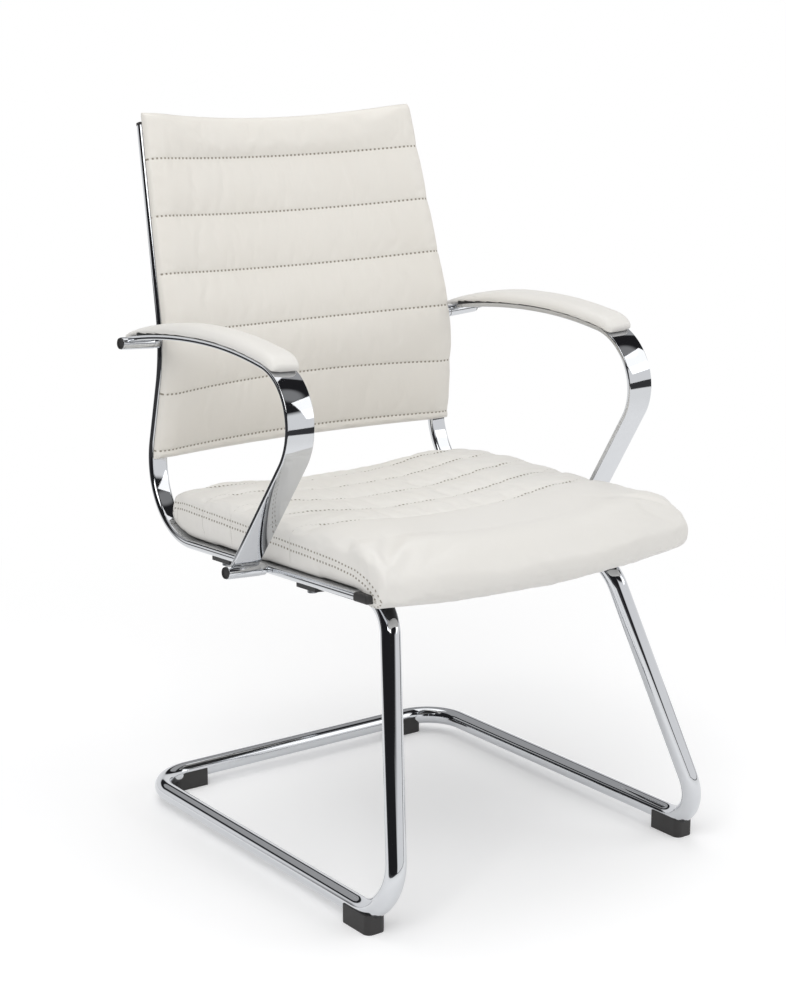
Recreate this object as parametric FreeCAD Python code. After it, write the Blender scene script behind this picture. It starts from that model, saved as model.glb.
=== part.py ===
import FreeCAD, Part
import math
import os

# Sled base visitor chair: a bent round tube base, two leaning side rails that
# carry an upholstered seat and back, and two flat bar arms with padded tops.
# Millimetres, +Z up, floor at Z = 0, the chair looks along -Y.

V = FreeCAD.Vector

# Whole chair
shift_y = -6.0              # puts the origin under the middle of the depth
lean = 3.7                  # degrees that each side frame leans inwards
touch = 0.05                # faces that are bolted or welded together
soft_gap = 0.3              # between a padded piece and its neighbour
fit_gap = 0.2               # radial play of plugs and screws

# Sled base, one tube
tube_d = 25.0
tube_wall = 2.0
base_half = 248.0           # tube centre line at the floor
base_front_y = -318.0
base_rear_y = 263.0
leg_splay = 0.218           # inwards per unit of height
leg_rake = 0.345            # rearwards per unit of height
floor_bend_r = 55.0
corner_bend_r = 60.0
seat_bend_r = 55.0
top_arm_rear_y = 110.0
plug_head = 3.0
plug_stem = 15.0

# Glides
glide_pad = 10.0            # plastic under the tube
glide_wall = 1.5            # plastic beside the tube
glide_len = 50.0
glide_cup = 2.0             # how far it reaches above the tube centre
glide_front_y = -252.0
glide_rear_in = 62.0         # inwards from the runners' centre line
glide_screw_d = 5.0
glide_head_d = 10.0
glide_head_h = 3.5
glide_recess = 5.0
glide_screw_len = 12.0

# Side rails, in the plane of the leaning side frame
rail_w = 26.0
rail_t = 11.0
rail_wall = 2.0
rail_corner_r = 3.5
rail_half = 236.0           # rail centre at the height rail_ref_z
rail_ref_z = 390.0
rail_front_y = -232.0
rail_front_z = 399.3
rail_knee_y = 260.0
rail_knee_z = 377.0
lumbar_y = 223.0
lumbar_z = 621.7
rail_top_y = 298.0
rail_top_z = 905.0
knee_r = 102.5
lumbar_r = 235.0
cap_head = 4.0
front_cap_head = 26.0
cap_stem = 14.0

# Cross plates between the rails and the base
plate_t = 5.0
plate_w = 40.0
plate_front_y = -130.0
plate_rear_y = 62.0
plate_end = 10.0            # plate past the rail centre
rail_bolt_d = 6.0
rail_bolt_head_d = 12.0
rail_bolt_head_h = 4.0
rail_bolt_grip = 5.0
seat_bolt_gap = 4.0         # between the bolts' heads and the base tube
seat_bolt_d = 6.0
seat_bolt_head_d = 12.0
seat_bolt_head_h = 4.0
tnut_d = 9.0
tnut_flange_d = 18.0
tnut_flange_t = 1.2

# Seat
board_t = 12.0
board_side_gap = 2.0        # to the arm bolts' heads
board_front_y = -240.0
board_rear_y = 176.0
board_corner_r = 30.0
seat_half = 236.0
seat_front_y = -304.0       # middle of the front
seat_front_sweep = 30.0     # the front corners lie this far back
seat_rear_y = 203.0
seat_crown_z = 451.0
seat_dish = 9.0             # the middle lies below the crown
seat_seam_z = 427.0         # seam along the side panel
seat_lip_z = 380.0          # lowest point of the front roll
seat_lip_rise = 8.0         # the lip is higher at the corners
seat_channels = 5
seat_channel_y = -100.0     # foremost sewn line
seat_channel_pitch = 66.0
seat_channel_depth = 3.2
seat_brow = 78.0            # from the front to where the top starts to fall
seat_chin = 34.0            # from the front to the lowest point of the roll
seat_under = 20.0           # how far the cushion reaches over the board's front
seat_rear_round = 8.0       # rearward roll of the rear edge, and its sweep at the corners

# Back
back_len = 454.0            # along the rails, from the top edge
back_above_rail = 15.5
back_edge_in = 1.0          # pad edge inside the rail's outer face
back_edge_t = 13.5          # pad thickness over the rails
back_recess = 26.0          # the middle of the front lies this far back
back_rear_recess = 28.0     # the same for the board behind the pad
back_flat_share = 0.90      # outside this share of the half width the front is flat
back_top_dip = 7.0
back_cover_t = 2.0
back_board_t = 5.0
back_cover_gap = 0.6        # to the rails, with room for their lean
back_sheet_gap = 0.15       # between the cover and the board
back_cover_in = 2.0
back_board_in = 5.0
back_channel_first = 62.0
back_channel_pitch = 75.0
back_channels = 5
back_hem = 13.0
back_puff = 4.5
back_screw_d = 5.0
back_screw_head_d = 9.0
back_screw_head_h = 2.5
back_screw_first = 62.0
back_screw_pitch = 165.0
back_screws = 3

# Arms, in the plane of the leaning side frame
arm_bar_w = 38.0
arm_bar_t = 6.0
arm_spacer = 8.0
arm_socket_d = 16.0
arm_socket_len = 46.0
arm_socket_bore = 12.0
arm_plug_depth = 12.0
arm_plug_head = 2.0
arm_upper_d = 298.0         # upper socket, down the back from the pad's top
arm_lower_y = -44.0
arm_bolt_d = 8.0
arm_bolt_head_d = 11.0
arm_bolt_head_h = 5.0
arm_bolt_grip = 22.0
arm_apex_y = 32.0
arm_apex_z = 659.5          # top face of the bar
arm_rear_r = 1000.0
arm_top_r = 700.0
arm_top_turn = 10.0         # degrees
arm_nose_r = 75.0
arm_nose_turn = 34.3        # degrees past the vertical

# Arm pads
pad_w = 46.0
pad_h = 15.5
pad_stations = 14
pad_nose_share = 0.035       # of the length, rounded off at the front
pad_tail_share = 0.42       # of the length, tapering at the rear
pad_front = 145.0           # reach in front of the highest point, along Y
pad_rear = 222.0            # reach behind it
pad_core_t = 4.0
pad_core_w = 30.0
pad_core_end = 22.0
pad_screw_d = 5.0
pad_screw_head_d = 9.0
pad_screw_head_h = 2.5
pad_screw_over = 1.0        # screw tip past the core
pad_screw_front = 60.0
pad_screw_rear = 150.0


def rounded_wire(points, radii):
    """Straight lines through the points, each corner rounded by an arc."""
    edges = []
    start = points[0]
    for i, radius in enumerate(radii):
        corner = points[i + 1]
        to_last = (points[i] - corner).normalize()
        to_next = (points[i + 2] - corner).normalize()
        half = to_last.getAngle(to_next) / 2
        reach = radius / math.tan(half)
        first = corner + to_last * reach
        last = corner + to_next * reach
        centre = corner + (to_last + to_next).normalize() * (radius / math.sin(half))
        middle = centre + (corner - centre).normalize() * radius
        edges.append(Part.LineSegment(start, first).toShape())
        edges.append(Part.Arc(first, middle, last).toShape())
        start = last
    edges.append(Part.LineSegment(start, points[-1]).toShape())
    return Part.Wire(edges)


def rounded_rect(centre, along, across, width, height, radius):
    """Closed outline of a rectangle with rounded corners."""
    edges = []
    points = []
    for sx, sy in ((1, 1), (-1, 1), (-1, -1), (1, -1)):
        middle = centre + along * (sx * (width / 2 - radius))
        middle = middle + across * (sy * (height / 2 - radius))
        side = middle + along * (sx * radius)
        end = middle + across * (sy * radius)
        diagonal = middle + (along * sx + across * sy) * (radius / math.sqrt(2))
        if sx * sy > 0:
            points.append((side, diagonal, end))
        else:
            points.append((end, diagonal, side))
    for i in range(4):
        first, diagonal, last = points[i]
        edges.append(Part.Arc(first, diagonal, last).toShape())
        edges.append(Part.LineSegment(last, points[(i + 1) % 4][0]).toShape())
    return Part.Wire(edges)


def sweep(path, profile):
    """Solid made by one closed outline carried along a path."""
    return path.makePipeShell([profile], True, False)


def largest(shape):
    """The main solid of a cut, without loose slivers."""
    return max(shape.Solids, key=lambda part: part.Volume)


def polygon(points, depth):
    """Prism of a flat outline, carried along the vector depth."""
    return Part.Face(Part.makePolygon(points + [points[0]])).extrude(depth)


# Placing pieces of a leaning side frame
# In its own plane a side frame has X outwards from the rail's centre,
# Y as the chair's and Z up from the height rail_ref_z.

def stand(shape):
    """Lean a right-hand piece and put it at its side of the chair."""
    shape.rotate(V(0, 0, 0), V(0, 1, 0), -lean)
    shape.translate(V(rail_half, shift_y, rail_ref_z))
    return shape


def left_of(shape):
    """The matching piece of the left side."""
    return shape.mirror(V(0, 0, 0), V(1, 0, 0))


def frame_z(z):
    """Height in the side frame's own plane for a height on the chair."""
    return (z - rail_ref_z) / math.cos(math.radians(lean))


def half_width(z):
    """Distance from the middle of the chair to the rail's centre."""
    return rail_half - math.tan(math.radians(lean)) * (z - rail_ref_z)


# Shared curves

rail_points = [
    V(0, rail_front_y, frame_z(rail_front_z)),
    V(0, rail_knee_y, frame_z(rail_knee_z)),
    V(0, lumbar_y, frame_z(lumbar_z)),
    V(0, rail_top_y, frame_z(rail_top_z)),
]

up_seat = (rail_points[0] - rail_points[1]).normalize()
up_lower = (rail_points[2] - rail_points[1]).normalize()
up_upper = (rail_points[3] - rail_points[2]).normalize()
lumbar_turn = up_lower.getAngle(up_upper)
lumbar_reach = lumbar_r * math.tan(lumbar_turn / 2)
upper_len = (rail_points[3] - rail_points[2]).Length + back_above_rail - lumbar_reach
lumbar_len = lumbar_r * lumbar_turn
knee_reach = knee_r / math.tan(up_seat.getAngle(up_lower) / 2)
lower_len = (rail_points[2] - rail_points[1]).Length - lumbar_reach - knee_reach
knee_start = upper_len + lumbar_len + lower_len


def forwards(direction):
    """Unit vector square to a direction in the YZ plane, towards the sitter."""
    return V(0, -direction.z, direction.y)


def back_at(down, ahead):
    """Point on the back, down from the pad's top edge and ahead of the rail's centre."""
    if down <= upper_len:
        point = rail_points[3] + up_upper * (back_above_rail - down)
        return point + forwards(up_upper) * ahead
    start = rail_points[2] + up_upper * lumbar_reach
    centre = start - forwards(up_upper) * lumbar_r
    if down <= upper_len + lumbar_len:
        turn = (down - upper_len) / lumbar_r
        arm = forwards(up_upper) * math.cos(turn) - up_upper * math.sin(turn)
        return centre + arm * (lumbar_r + ahead)
    if down <= knee_start:
        point = rail_points[2] - up_lower * (lumbar_reach + down - upper_len - lumbar_len)
        return point + forwards(up_lower) * ahead
    start = rail_points[1] + up_lower * knee_reach
    centre = start + forwards(up_lower) * knee_r
    turn = (down - knee_start) / knee_r
    arm = forwards(up_lower) * math.cos(turn) + up_lower * math.sin(turn)
    return centre - arm * (knee_r - ahead)


def seat_line_z(y):
    """Height of the rail's centre line under the seat, in the side frame's plane."""
    return rail_points[0].z + (y - rail_front_y) * up_seat.z / up_seat.y


def seat_z(y):
    """Height of the same line on the chair."""
    return rail_ref_z + seat_line_z(y) * math.cos(math.radians(lean))


seat_slope = math.degrees(math.atan(-up_seat.z / up_seat.y))
plate_drop = (rail_t / 2 + touch) / math.cos(math.radians(lean))
plate_step = rail_w / 2 * math.sin(math.radians(lean))


def plate_top(y):
    """Top of the flat part of a cross plate."""
    return seat_z(y) - plate_drop - plate_step


# Sled base

def base_points():
    """Corners of the sled tube's centre line, from one upper end to the other."""
    floor = tube_d / 2 + glide_pad
    below_plate = plate_t + touch + tube_d / 2
    slope = plate_top(1) - plate_top(0)
    y = base_front_y + leg_rake * (plate_top(0) - below_plate - floor)
    y = y / (1 - leg_rake * slope)
    top = plate_top(y) - below_plate
    x_top = base_half - leg_splay * (top - floor)
    right = [
        V(x_top, top_arm_rear_y, plate_top(top_arm_rear_y) - below_plate),
        V(x_top, y, top),
        V(base_half, base_front_y, floor),
        V(base_half, base_rear_y, floor),
    ]
    left = [V(-p.x, p.y, p.z) for p in reversed(right)]
    return right + left


def seat_bolt_x():
    """Seat bolts stand inside the tube's upper runs, clear of them by a named gap."""
    return base_points()[0].x - tube_d / 2 - seat_bolt_gap - seat_bolt_head_d / 2


def sled_path():
    radii = [seat_bend_r, floor_bend_r, corner_bend_r]
    return rounded_wire(base_points(), radii + radii[::-1])


def tube_profile(radius):
    points = base_points()
    return Part.Wire([Part.makeCircle(radius, points[0], points[1] - points[0])])


def sled_base():
    path = sled_path()
    outer = sweep(path, tube_profile(tube_d / 2))
    inner = sweep(path, tube_profile(tube_d / 2 - tube_wall))
    base = outer.cut(inner)
    for x, y, along_x in glide_places():
        base = base.cut(Part.makeCylinder(glide_screw_d / 2 + fit_gap, tube_d / 2, V(x, y, glide_pad)))
    base.translate(V(0, shift_y, 0))
    return base


def base_end_plugs():
    points = base_points()
    rear = (points[0] - points[1]).normalize()
    bore = tube_d / 2 - tube_wall - fit_gap
    plugs = []
    for sign in (-1, 1):
        end = V(sign * abs(points[0].x), points[0].y, points[0].z)
        head = Part.makeCylinder(tube_d / 2, plug_head, end + rear * touch, rear)
        head = head.makeFillet(plug_head / 3, [head.Edges[0]])
        stem = Part.makeCylinder(bore, plug_stem, end + rear * touch, rear * -1)
        plug = head.fuse(stem).removeSplitter()
        plug.translate(V(0, shift_y, 0))
        plugs.append(plug)
    return Part.makeCompound(plugs)


# Glides

def glide_places():
    """Middle of each glide, and whether it lies along X."""
    return [
        (-base_half, glide_front_y, False),
        (base_half, glide_front_y, False),
        (glide_rear_in - base_half, base_rear_y, True),
        (base_half - glide_rear_in, base_rear_y, True),
    ]


def glide(x, y, along_x):
    """Plastic saddle under the tube, rounded at its outer end, bored for its screw."""
    width = tube_d + 2 * glide_wall
    height = glide_pad + tube_d / 2 + glide_cup
    body = Part.makeBox(glide_len, width, height, V(-glide_len / 2, -width / 2, 0))
    ends = [e for e in body.Edges if abs(e.CenterOfMass.z - height / 2) < 0.01]
    outer = [e for e in ends if e.CenterOfMass.x < 0]
    body = body.makeFillet(width * 0.3, outer)
    if along_x:
        body.rotate(V(0, 0, 0), V(0, 0, 1), 0 if x < 0 else 180)
    else:
        body.rotate(V(0, 0, 0), V(0, 0, 1), 90)
    body.translate(V(x, y, 0))
    body = body.cut(sweep(sled_path(), tube_profile(tube_d / 2 + touch)))
    body = largest(body)
    body = body.cut(Part.makeCylinder(glide_screw_d / 2 + fit_gap, height, V(x, y, 0)))
    body = body.cut(Part.makeCylinder(glide_head_d / 2 + fit_gap, glide_recess, V(x, y, 0)))
    body.translate(V(0, shift_y, 0))
    return body


def glide_screws():
    screws = []
    for x, y, along_x in glide_places():
        foot = V(x, y, glide_recess - glide_head_h)
        head = Part.makeCylinder(glide_head_d / 2, glide_head_h - touch, foot)
        shank = Part.makeCylinder(glide_screw_d / 2, glide_screw_len, foot)
        screw = head.fuse(shank).removeSplitter()
        screw.translate(V(0, shift_y, 0))
        screws.append(screw)
    return Part.makeCompound(screws)


# Side rails

def rail_path():
    return rounded_wire(rail_points, [knee_r, lumbar_r])


def rail_profile(grow):
    start = rail_points[0]
    along = (rail_points[1] - start).normalize()
    width = rail_w + 2 * grow
    height = rail_t + 2 * grow
    return rounded_rect(start, V(1, 0, 0), forwards(along), width, height, rail_corner_r + grow)


def arm_places():
    """Upper and lower arm sockets in the side frame's plane."""
    return [back_at(arm_upper_d, 0), V(0, arm_lower_y, seat_line_z(arm_lower_y))]


def rail_bolt_places():
    return [V(0, y, seat_line_z(y)) for y in (plate_front_y, plate_rear_y)]


def back_screw_places():
    return [back_screw_first + i * back_screw_pitch for i in range(back_screws)]


def rail():
    path = rail_path()
    body = sweep(path, rail_profile(0)).cut(sweep(path, rail_profile(-rail_wall)))
    for place in arm_places():
        bore = Part.makeCylinder(arm_bolt_d / 2 + fit_gap, rail_w * 2, place - V(rail_w, 0, 0), V(1, 0, 0))
        body = body.cut(bore)
    up = forwards(up_seat) * -1
    for place in rail_bolt_places():
        body = body.cut(Part.makeCylinder(rail_bolt_d / 2 + fit_gap, rail_t, place - up * rail_t, up))
    for down in back_screw_places():
        front = back_at(down, rail_t)
        rear = back_at(down, -rail_t)
        bore = Part.makeCylinder(back_screw_d / 2 + fit_gap, 2 * rail_t, rear, front - rear)
        body = body.cut(bore)
    return stand(body)


def rail_cap(end, outwards, head_len, rounding):
    """Black plug that closes a rail's open end."""
    across = forwards(outwards)
    face = end + outwards * touch
    head_outline = rounded_rect(face, V(1, 0, 0), across, rail_w, rail_t, rail_corner_r)
    head = Part.Face(head_outline).extrude(outwards * head_len)
    far = [e for e in head.Edges if (e.CenterOfMass - face).dot(outwards) > head_len * 0.99]
    head = head.makeFillet(rounding, far)
    inner = rail_profile_size(rail_wall + fit_gap)
    stem_outline = rounded_rect(face, V(1, 0, 0), across, inner[0], inner[1], inner[2])
    stem = Part.Face(stem_outline).extrude(outwards * -cap_stem)
    return head.fuse(stem).removeSplitter()


def rail_profile_size(inside):
    return rail_w - 2 * inside, rail_t - 2 * inside, max(rail_corner_r - inside, 0.5)


def rail_caps(top):
    if top:
        cap = rail_cap(rail_points[3], up_upper, cap_head, cap_head / 3)
    else:
        cap = rail_cap(rail_points[0], up_seat, front_cap_head, rail_corner_r)
    right = stand(cap)
    return Part.makeCompound([left_of(right), right])


# Cross plates

def cross_plate(y):
    """Flat bar across both rails, its ends turned up to meet the leaning rails."""
    slope = math.tan(math.radians(lean))
    rail_x = half_width(seat_z(y))
    inner_x = rail_x - rail_w / 2
    end_x = rail_x + plate_end
    top = plate_top(y)
    outline = [
        V(-end_x, 0, top + slope * (end_x - inner_x)),
        V(-inner_x, 0, top),
        V(inner_x, 0, top),
        V(end_x, 0, top + slope * (end_x - inner_x)),
        V(end_x, 0, top + slope * (end_x - inner_x) - plate_t),
        V(inner_x, 0, top - plate_t),
        V(-inner_x, 0, top - plate_t),
        V(-end_x, 0, top + slope * (end_x - inner_x) - plate_t),
    ]
    plate = polygon([p + V(0, -plate_w / 2, 0) for p in outline], V(0, plate_w, 0))
    for sign in (-1, 1):
        foot = V(sign * seat_bolt_x(), 0, top - plate_t * 3)
        plate = plate.cut(Part.makeCylinder(seat_bolt_d / 2 + fit_gap, plate_t * 6, foot))
    plate.rotate(V(0, 0, top), V(1, 0, 0), -seat_slope)
    plate.translate(V(0, y + shift_y, 0))
    up = forwards(up_seat) * -1
    foot = V(0, y, seat_line_z(y)) - up * (rail_t + plate_t)
    bore = stand(Part.makeCylinder(rail_bolt_d / 2 + fit_gap, rail_t + plate_t, foot, up))
    return plate.cut([bore, left_of(bore)])


def rail_bolts():
    """Bolts up through the cross plates into the rails' lower walls."""
    up = forwards(up_seat) * -1
    bolts = []
    for place in rail_bolt_places():
        under = place - up * (rail_t / 2 + plate_t + 4 * touch + plate_step / 4)
        head = Part.makeCylinder(rail_bolt_head_d / 2, rail_bolt_head_h, under - up * rail_bolt_head_h, up)
        shank = Part.makeCylinder(rail_bolt_d / 2, plate_t + rail_bolt_grip, under, up)
        right = stand(head.fuse(shank).removeSplitter())
        bolts += [left_of(right), right]
    return Part.makeCompound(bolts)


# Seat

def seat_frame(shape, y, z):
    """Tip a piece to the slope of the seat rails."""
    shape.rotate(V(0, y, z), V(1, 0, 0), -seat_slope)
    shape.translate(V(0, shift_y, 0))
    return shape


def board_bottom(y):
    return plate_top(y) + touch


def board_block(grow):
    """The seat board without its holes, grown on all sides by a clearance."""
    side = half_width(seat_z(plate_front_y)) - rail_w / 2 - arm_bolt_head_h - board_side_gap
    length = board_rear_y - board_front_y
    middle = V(0, (board_front_y + board_rear_y) / 2, board_bottom(0) - grow)
    outline = rounded_rect(middle, V(1, 0, 0), V(0, 1, 0), 2 * (side + grow), length + 2 * grow,
                           board_corner_r)
    return Part.Face(outline).extrude(V(0, 0, board_t + 2 * grow))


def seat_board():
    board = board_block(0)
    for x, y in seat_bolt_places():
        low = board_bottom(0) - board_t
        board = board.cut(Part.makeCylinder(tnut_d / 2 + fit_gap, board_t * 4, V(x, y, low)))
    return seat_frame(board, 0, board_bottom(0))


def seat_bolt_places():
    places = []
    for sign in (-1, 1):
        for y in (plate_front_y, plate_rear_y):
            places.append((sign * seat_bolt_x(), y))
    return places


def seat_bolts():
    bolts = []
    for x, y in seat_bolt_places():
        under = board_bottom(0) - plate_t - 2 * touch
        head = Part.makeCylinder(seat_bolt_head_d / 2, seat_bolt_head_h, V(x, y, under - seat_bolt_head_h))
        shank = Part.makeCylinder(seat_bolt_d / 2, plate_t + board_t, V(x, y, under))
        bolts.append(seat_frame(head.fuse(shank).removeSplitter(), 0, board_bottom(0)))
    return Part.makeCompound(bolts)


def seat_tnuts():
    nuts = []
    for x, y in seat_bolt_places():
        top = board_bottom(0) + board_t
        barrel = Part.makeCylinder(tnut_d / 2, board_t - fit_gap, V(x, y, board_bottom(0) + fit_gap))
        flange = Part.makeCylinder(tnut_flange_d / 2, tnut_flange_t, V(x, y, top + touch))
        neck = Part.makeCylinder(tnut_d / 2, touch, V(x, y, top))
        nut = barrel.fuse([neck, flange]).removeSplitter()
        nut = nut.cut(Part.makeCylinder(seat_bolt_d / 2 + fit_gap, board_t * 3, V(x, y, board_bottom(0))))
        nuts.append(seat_frame(nut, 0, board_bottom(0)))
    return Part.makeCompound(nuts)


def seat_section(x):
    """Outline of the seat cushion at one distance from the middle of the chair."""
    side = min(abs(x) / seat_half, 1.0)
    round_off = max(0.0, (side - 0.72) / 0.28)
    fall = (seat_crown_z - seat_seam_z) * (1 - math.sqrt(max(0.0, 1 - round_off ** 2)))
    dish = seat_dish * (1 - min(side / 0.72, 1.0) ** 2)
    crown = seat_crown_z - fall - dish
    depth = max(seat_channel_depth * min(1.0, (1 - side) * 5), 0.2)
    front = seat_front_y + seat_front_sweep * side ** 2.5
    lip = seat_lip_z + seat_lip_rise * side ** 2
    rear = seat_rear_y - seat_rear_round * side ** 4
    rear_z = board_bottom(rear) + board_t + soft_gap
    front_under_y = board_front_y + seat_under
    front_under_z = board_bottom(front_under_y) + board_t + soft_gap
    rear_top = crown - 7
    seams = [seat_channel_y + i * seat_channel_pitch for i in range(seat_channels)]

    def at(y, z):
        return V(x, y, z)

    edges = []
    # Rolled rear edge
    rear_top_y = rear - 16
    edges.append(Part.LineSegment(at(rear - seat_rear_round, rear_z), at(rear, rear_z + 12)).toShape())
    mid = at(rear - 3, (rear_z + 12 + rear_top) / 2 + 7)
    edges.append(Part.Arc(at(rear, rear_z + 12), mid, at(rear_top_y, rear_top)).toShape())
    # Sewn channels, from the rear to the front
    last = at(rear_top_y, rear_top)
    for i, y in enumerate(reversed(seams)):
        seam_z = crown - depth - (4.0 if i == 0 else 0.0)
        point = at(y, seam_z)
        top = at((last.y + y) / 2, (last.z + seam_z) / 2 + depth)
        edges.append(Part.Arc(last, top, point).toShape())
        last = point
    # Front panel: over the front, down the roll and under
    brow = at(front + seat_brow, crown + 0.5)
    edges.append(Part.Arc(last, at((last.y + brow.y) / 2, crown + 1.0), brow).toShape())
    nose = at(front, (crown + lip) / 2 + 4)
    roll_z = crown - (crown - nose.z) * 0.30
    edges.append(Part.Arc(brow, at(front + 20, roll_z), nose).toShape())
    chin = at(front + seat_chin, lip)
    edges.append(Part.Arc(nose, at(front + 7, lip + (nose.z - lip) * 0.35), chin).toShape())
    edges.append(Part.LineSegment(chin, at(front_under_y, front_under_z)).toShape())
    edges.append(Part.LineSegment(at(front_under_y, front_under_z), at(rear - seat_rear_round, rear_z)).toShape())
    return Part.Wire(edges)


def rail_clearance():
    """Space round a rail and its front cap, kept free of the cushion."""
    start = rail_points[0] + up_seat * (front_cap_head + 2 * soft_gap)
    outline = rounded_rect(start, V(1, 0, 0), forwards(up_seat), rail_w + 2 * soft_gap,
                           rail_t + 2 * soft_gap, rail_corner_r)
    straight = Part.Face(outline).extrude((rail_points[1] - start) * 0.7)
    bend = sweep(rail_path(), rail_profile(soft_gap))
    return stand(straight), stand(bend)


def seat_cushion():
    stations = [0.0, 0.4, 0.72, 0.88, 0.97, 1.0]
    sides = [-s for s in reversed(stations[1:])] + stations
    body = Part.makeLoft([seat_section(s * seat_half) for s in sides], True, False)
    body.translate(V(0, shift_y, 0))
    body = body.cut(seat_frame(board_block(soft_gap), 0, board_bottom(0)))
    for clear in rail_clearance():
        body = body.cut(clear)
        body = body.cut(left_of(clear))
    for x, y in seat_bolt_places():
        foot = V(x, y, board_bottom(0) + board_t - 1)
        pocket = Part.makeCylinder(tnut_flange_d / 2 + soft_gap, 1 + tnut_flange_t + 2 * soft_gap, foot)
        body = body.cut(seat_frame(pocket, 0, board_bottom(0)))
    return largest(body)


# Back

def back_edge_half(z):
    """Half width of the upholstered back at a height in the side frame's plane."""
    return half_width(rail_ref_z + z * math.cos(math.radians(lean))) + rail_w / 2 - back_edge_in


def back_point(side, down, ahead, inset=0.0):
    """Point of the back at a share of its half width."""
    at = back_at(down, ahead)
    z = rail_ref_z + at.z * math.cos(math.radians(lean))
    half = back_edge_half(at.z) - inset
    return V(side * half, at.y, z)


def rail_side():
    """Share of the half width that lies inside the rails and the arm bolts' heads."""
    half = back_edge_half(frame_z(lumbar_z))
    return (half - rail_w - arm_bolt_head_h - board_side_gap) / half


def rear_recess(side):
    share = min(abs(side) / rail_side(), 1.0)
    return back_rear_recess * (1 - share ** 2)


def top_drop(side):
    return back_top_dip * (1 - side ** 2)


def down_the_back(side, ahead, inset, stops):
    """Straight and bent runs down the back, all at one distance ahead of the rails."""
    edges = []
    for i in range(len(stops) - 1):
        middle = (stops[i] + stops[i + 1]) / 2
        start = back_point(side, stops[i], ahead, inset)
        end = back_point(side, stops[i + 1], ahead, inset)
        if upper_len < middle < upper_len + lumbar_len or middle > knee_start:
            edges.append(Part.Arc(start, back_point(side, middle, ahead, inset), end).toShape())
        else:
            edges.append(Part.LineSegment(start, end).toShape())
    return edges


def flat_section(side, ahead_rear, ahead_front, inset, ends):
    """Section of a thin shaped sheet that follows the rails."""
    recess = rear_recess(side)
    if abs(side) < 1:
        inset = 0.0
    stops = [top_drop(side) + ends, upper_len, upper_len + lumbar_len, knee_start, back_len - ends]
    ends = []
    for down in (stops[-1], stops[0]):
        front = back_point(side, down, ahead_front - recess, inset)
        rear = back_point(side, down, ahead_rear - recess, inset)
        ends.append((front, rear))
    edges = down_the_back(side, ahead_front - recess, inset, stops)
    edges.append(Part.LineSegment(ends[0][0], ends[0][1]).toShape())
    edges += down_the_back(side, ahead_rear - recess, inset, stops[::-1])
    edges.append(Part.LineSegment(ends[1][1], ends[1][0]).toShape())
    return Part.Wire(edges)


def back_stations(edge):
    inner = [0.0, 0.35, 0.65, rail_side()] + edge
    return [-s for s in reversed(inner[1:])] + inner


def thin_sheet(ahead_rear, ahead_front, inset, ends):
    sections = []
    for side in back_stations([0.93, 1.0]):
        sections.append(flat_section(side, ahead_rear, ahead_front, inset, ends))
    body = Part.makeLoft(sections, True, False)
    body.translate(V(0, shift_y, 0))
    return body


cover_rear = rail_t / 2 + back_cover_gap
board_rear = cover_rear + back_cover_t + back_sheet_gap
pad_rear_face = cover_rear + back_cover_t + back_cover_gap


def back_screw_bores(body, radius):
    """Bore a back piece for the screws that come through the rails."""
    for down in back_screw_places():
        rear = back_at(down, -rail_t)
        front = back_at(down, board_rear + back_board_t + 1.0)
        bore = stand(Part.makeCylinder(radius, (front - rear).Length, rear, front - rear))
        body = body.cut(bore)
        body = body.cut(left_of(bore))
    return body


def board_sheet(grow):
    inset = back_board_in - grow
    return thin_sheet(board_rear - grow, board_rear + back_board_t + grow, inset, inset)


def back_cover():
    body = thin_sheet(cover_rear, cover_rear + back_cover_t, back_cover_in, back_cover_in)
    return back_screw_bores(body, back_screw_d / 2 + fit_gap)


def back_board():
    return back_screw_bores(board_sheet(0), back_screw_d / 2 + fit_gap)


def back_section(side):
    """Section of the padded back: sewn channels in front, a plain rear face."""
    share = abs(side)
    recess = back_recess * max(0.0, 1 - (share / back_flat_share) ** 2)
    drawn_in = back_edge_t * 0.45 * max(0.0, (share - 0.93) / 0.07) ** 2
    face = rail_t / 2 + back_edge_t - recess - drawn_in
    puff = back_puff * (1 - 0.55 * share ** 4)
    rear = pad_rear_face - rear_recess(side)
    top = top_drop(side)
    seams = [top + 3.0]
    seams += [back_channel_first + i * back_channel_pitch for i in range(back_channels)]
    seams += [back_len - back_hem, back_len - 2.0]
    edges = []
    start = back_point(side, top, (face + rear) / 2)
    last = back_point(side, seams[0], face - 1.0)
    edges.append(Part.LineSegment(start, last).toShape())
    for i in range(1, len(seams)):
        down = (seams[i - 1] + seams[i]) / 2
        rise = puff if i < len(seams) - 1 else 0.6
        point = back_point(side, seams[i], face)
        edges.append(Part.Arc(last, back_point(side, down, face + rise), point).toShape())
        last = point
    low_front = back_point(side, back_len, (face + rear) / 2)
    low_rear = back_point(side, back_len - 2.0, rear)
    edges.append(Part.LineSegment(last, low_front).toShape())
    edges.append(Part.LineSegment(low_front, low_rear).toShape())
    stops = [back_len - 2.0, knee_start, upper_len + lumbar_len, upper_len, top + 2.0]
    edges += down_the_back(side, rear, 0.0, stops)
    edges.append(Part.LineSegment(back_point(side, top + 2.0, rear), start).toShape())
    return Part.Wire(edges)


def back_cushion():
    sections = [back_section(side) for side in back_stations([0.93, 0.98, 1.0])]
    body = Part.makeLoft(sections, True, False)
    body.translate(V(0, shift_y, 0))
    return largest(body.cut(board_sheet(soft_gap)))


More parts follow.
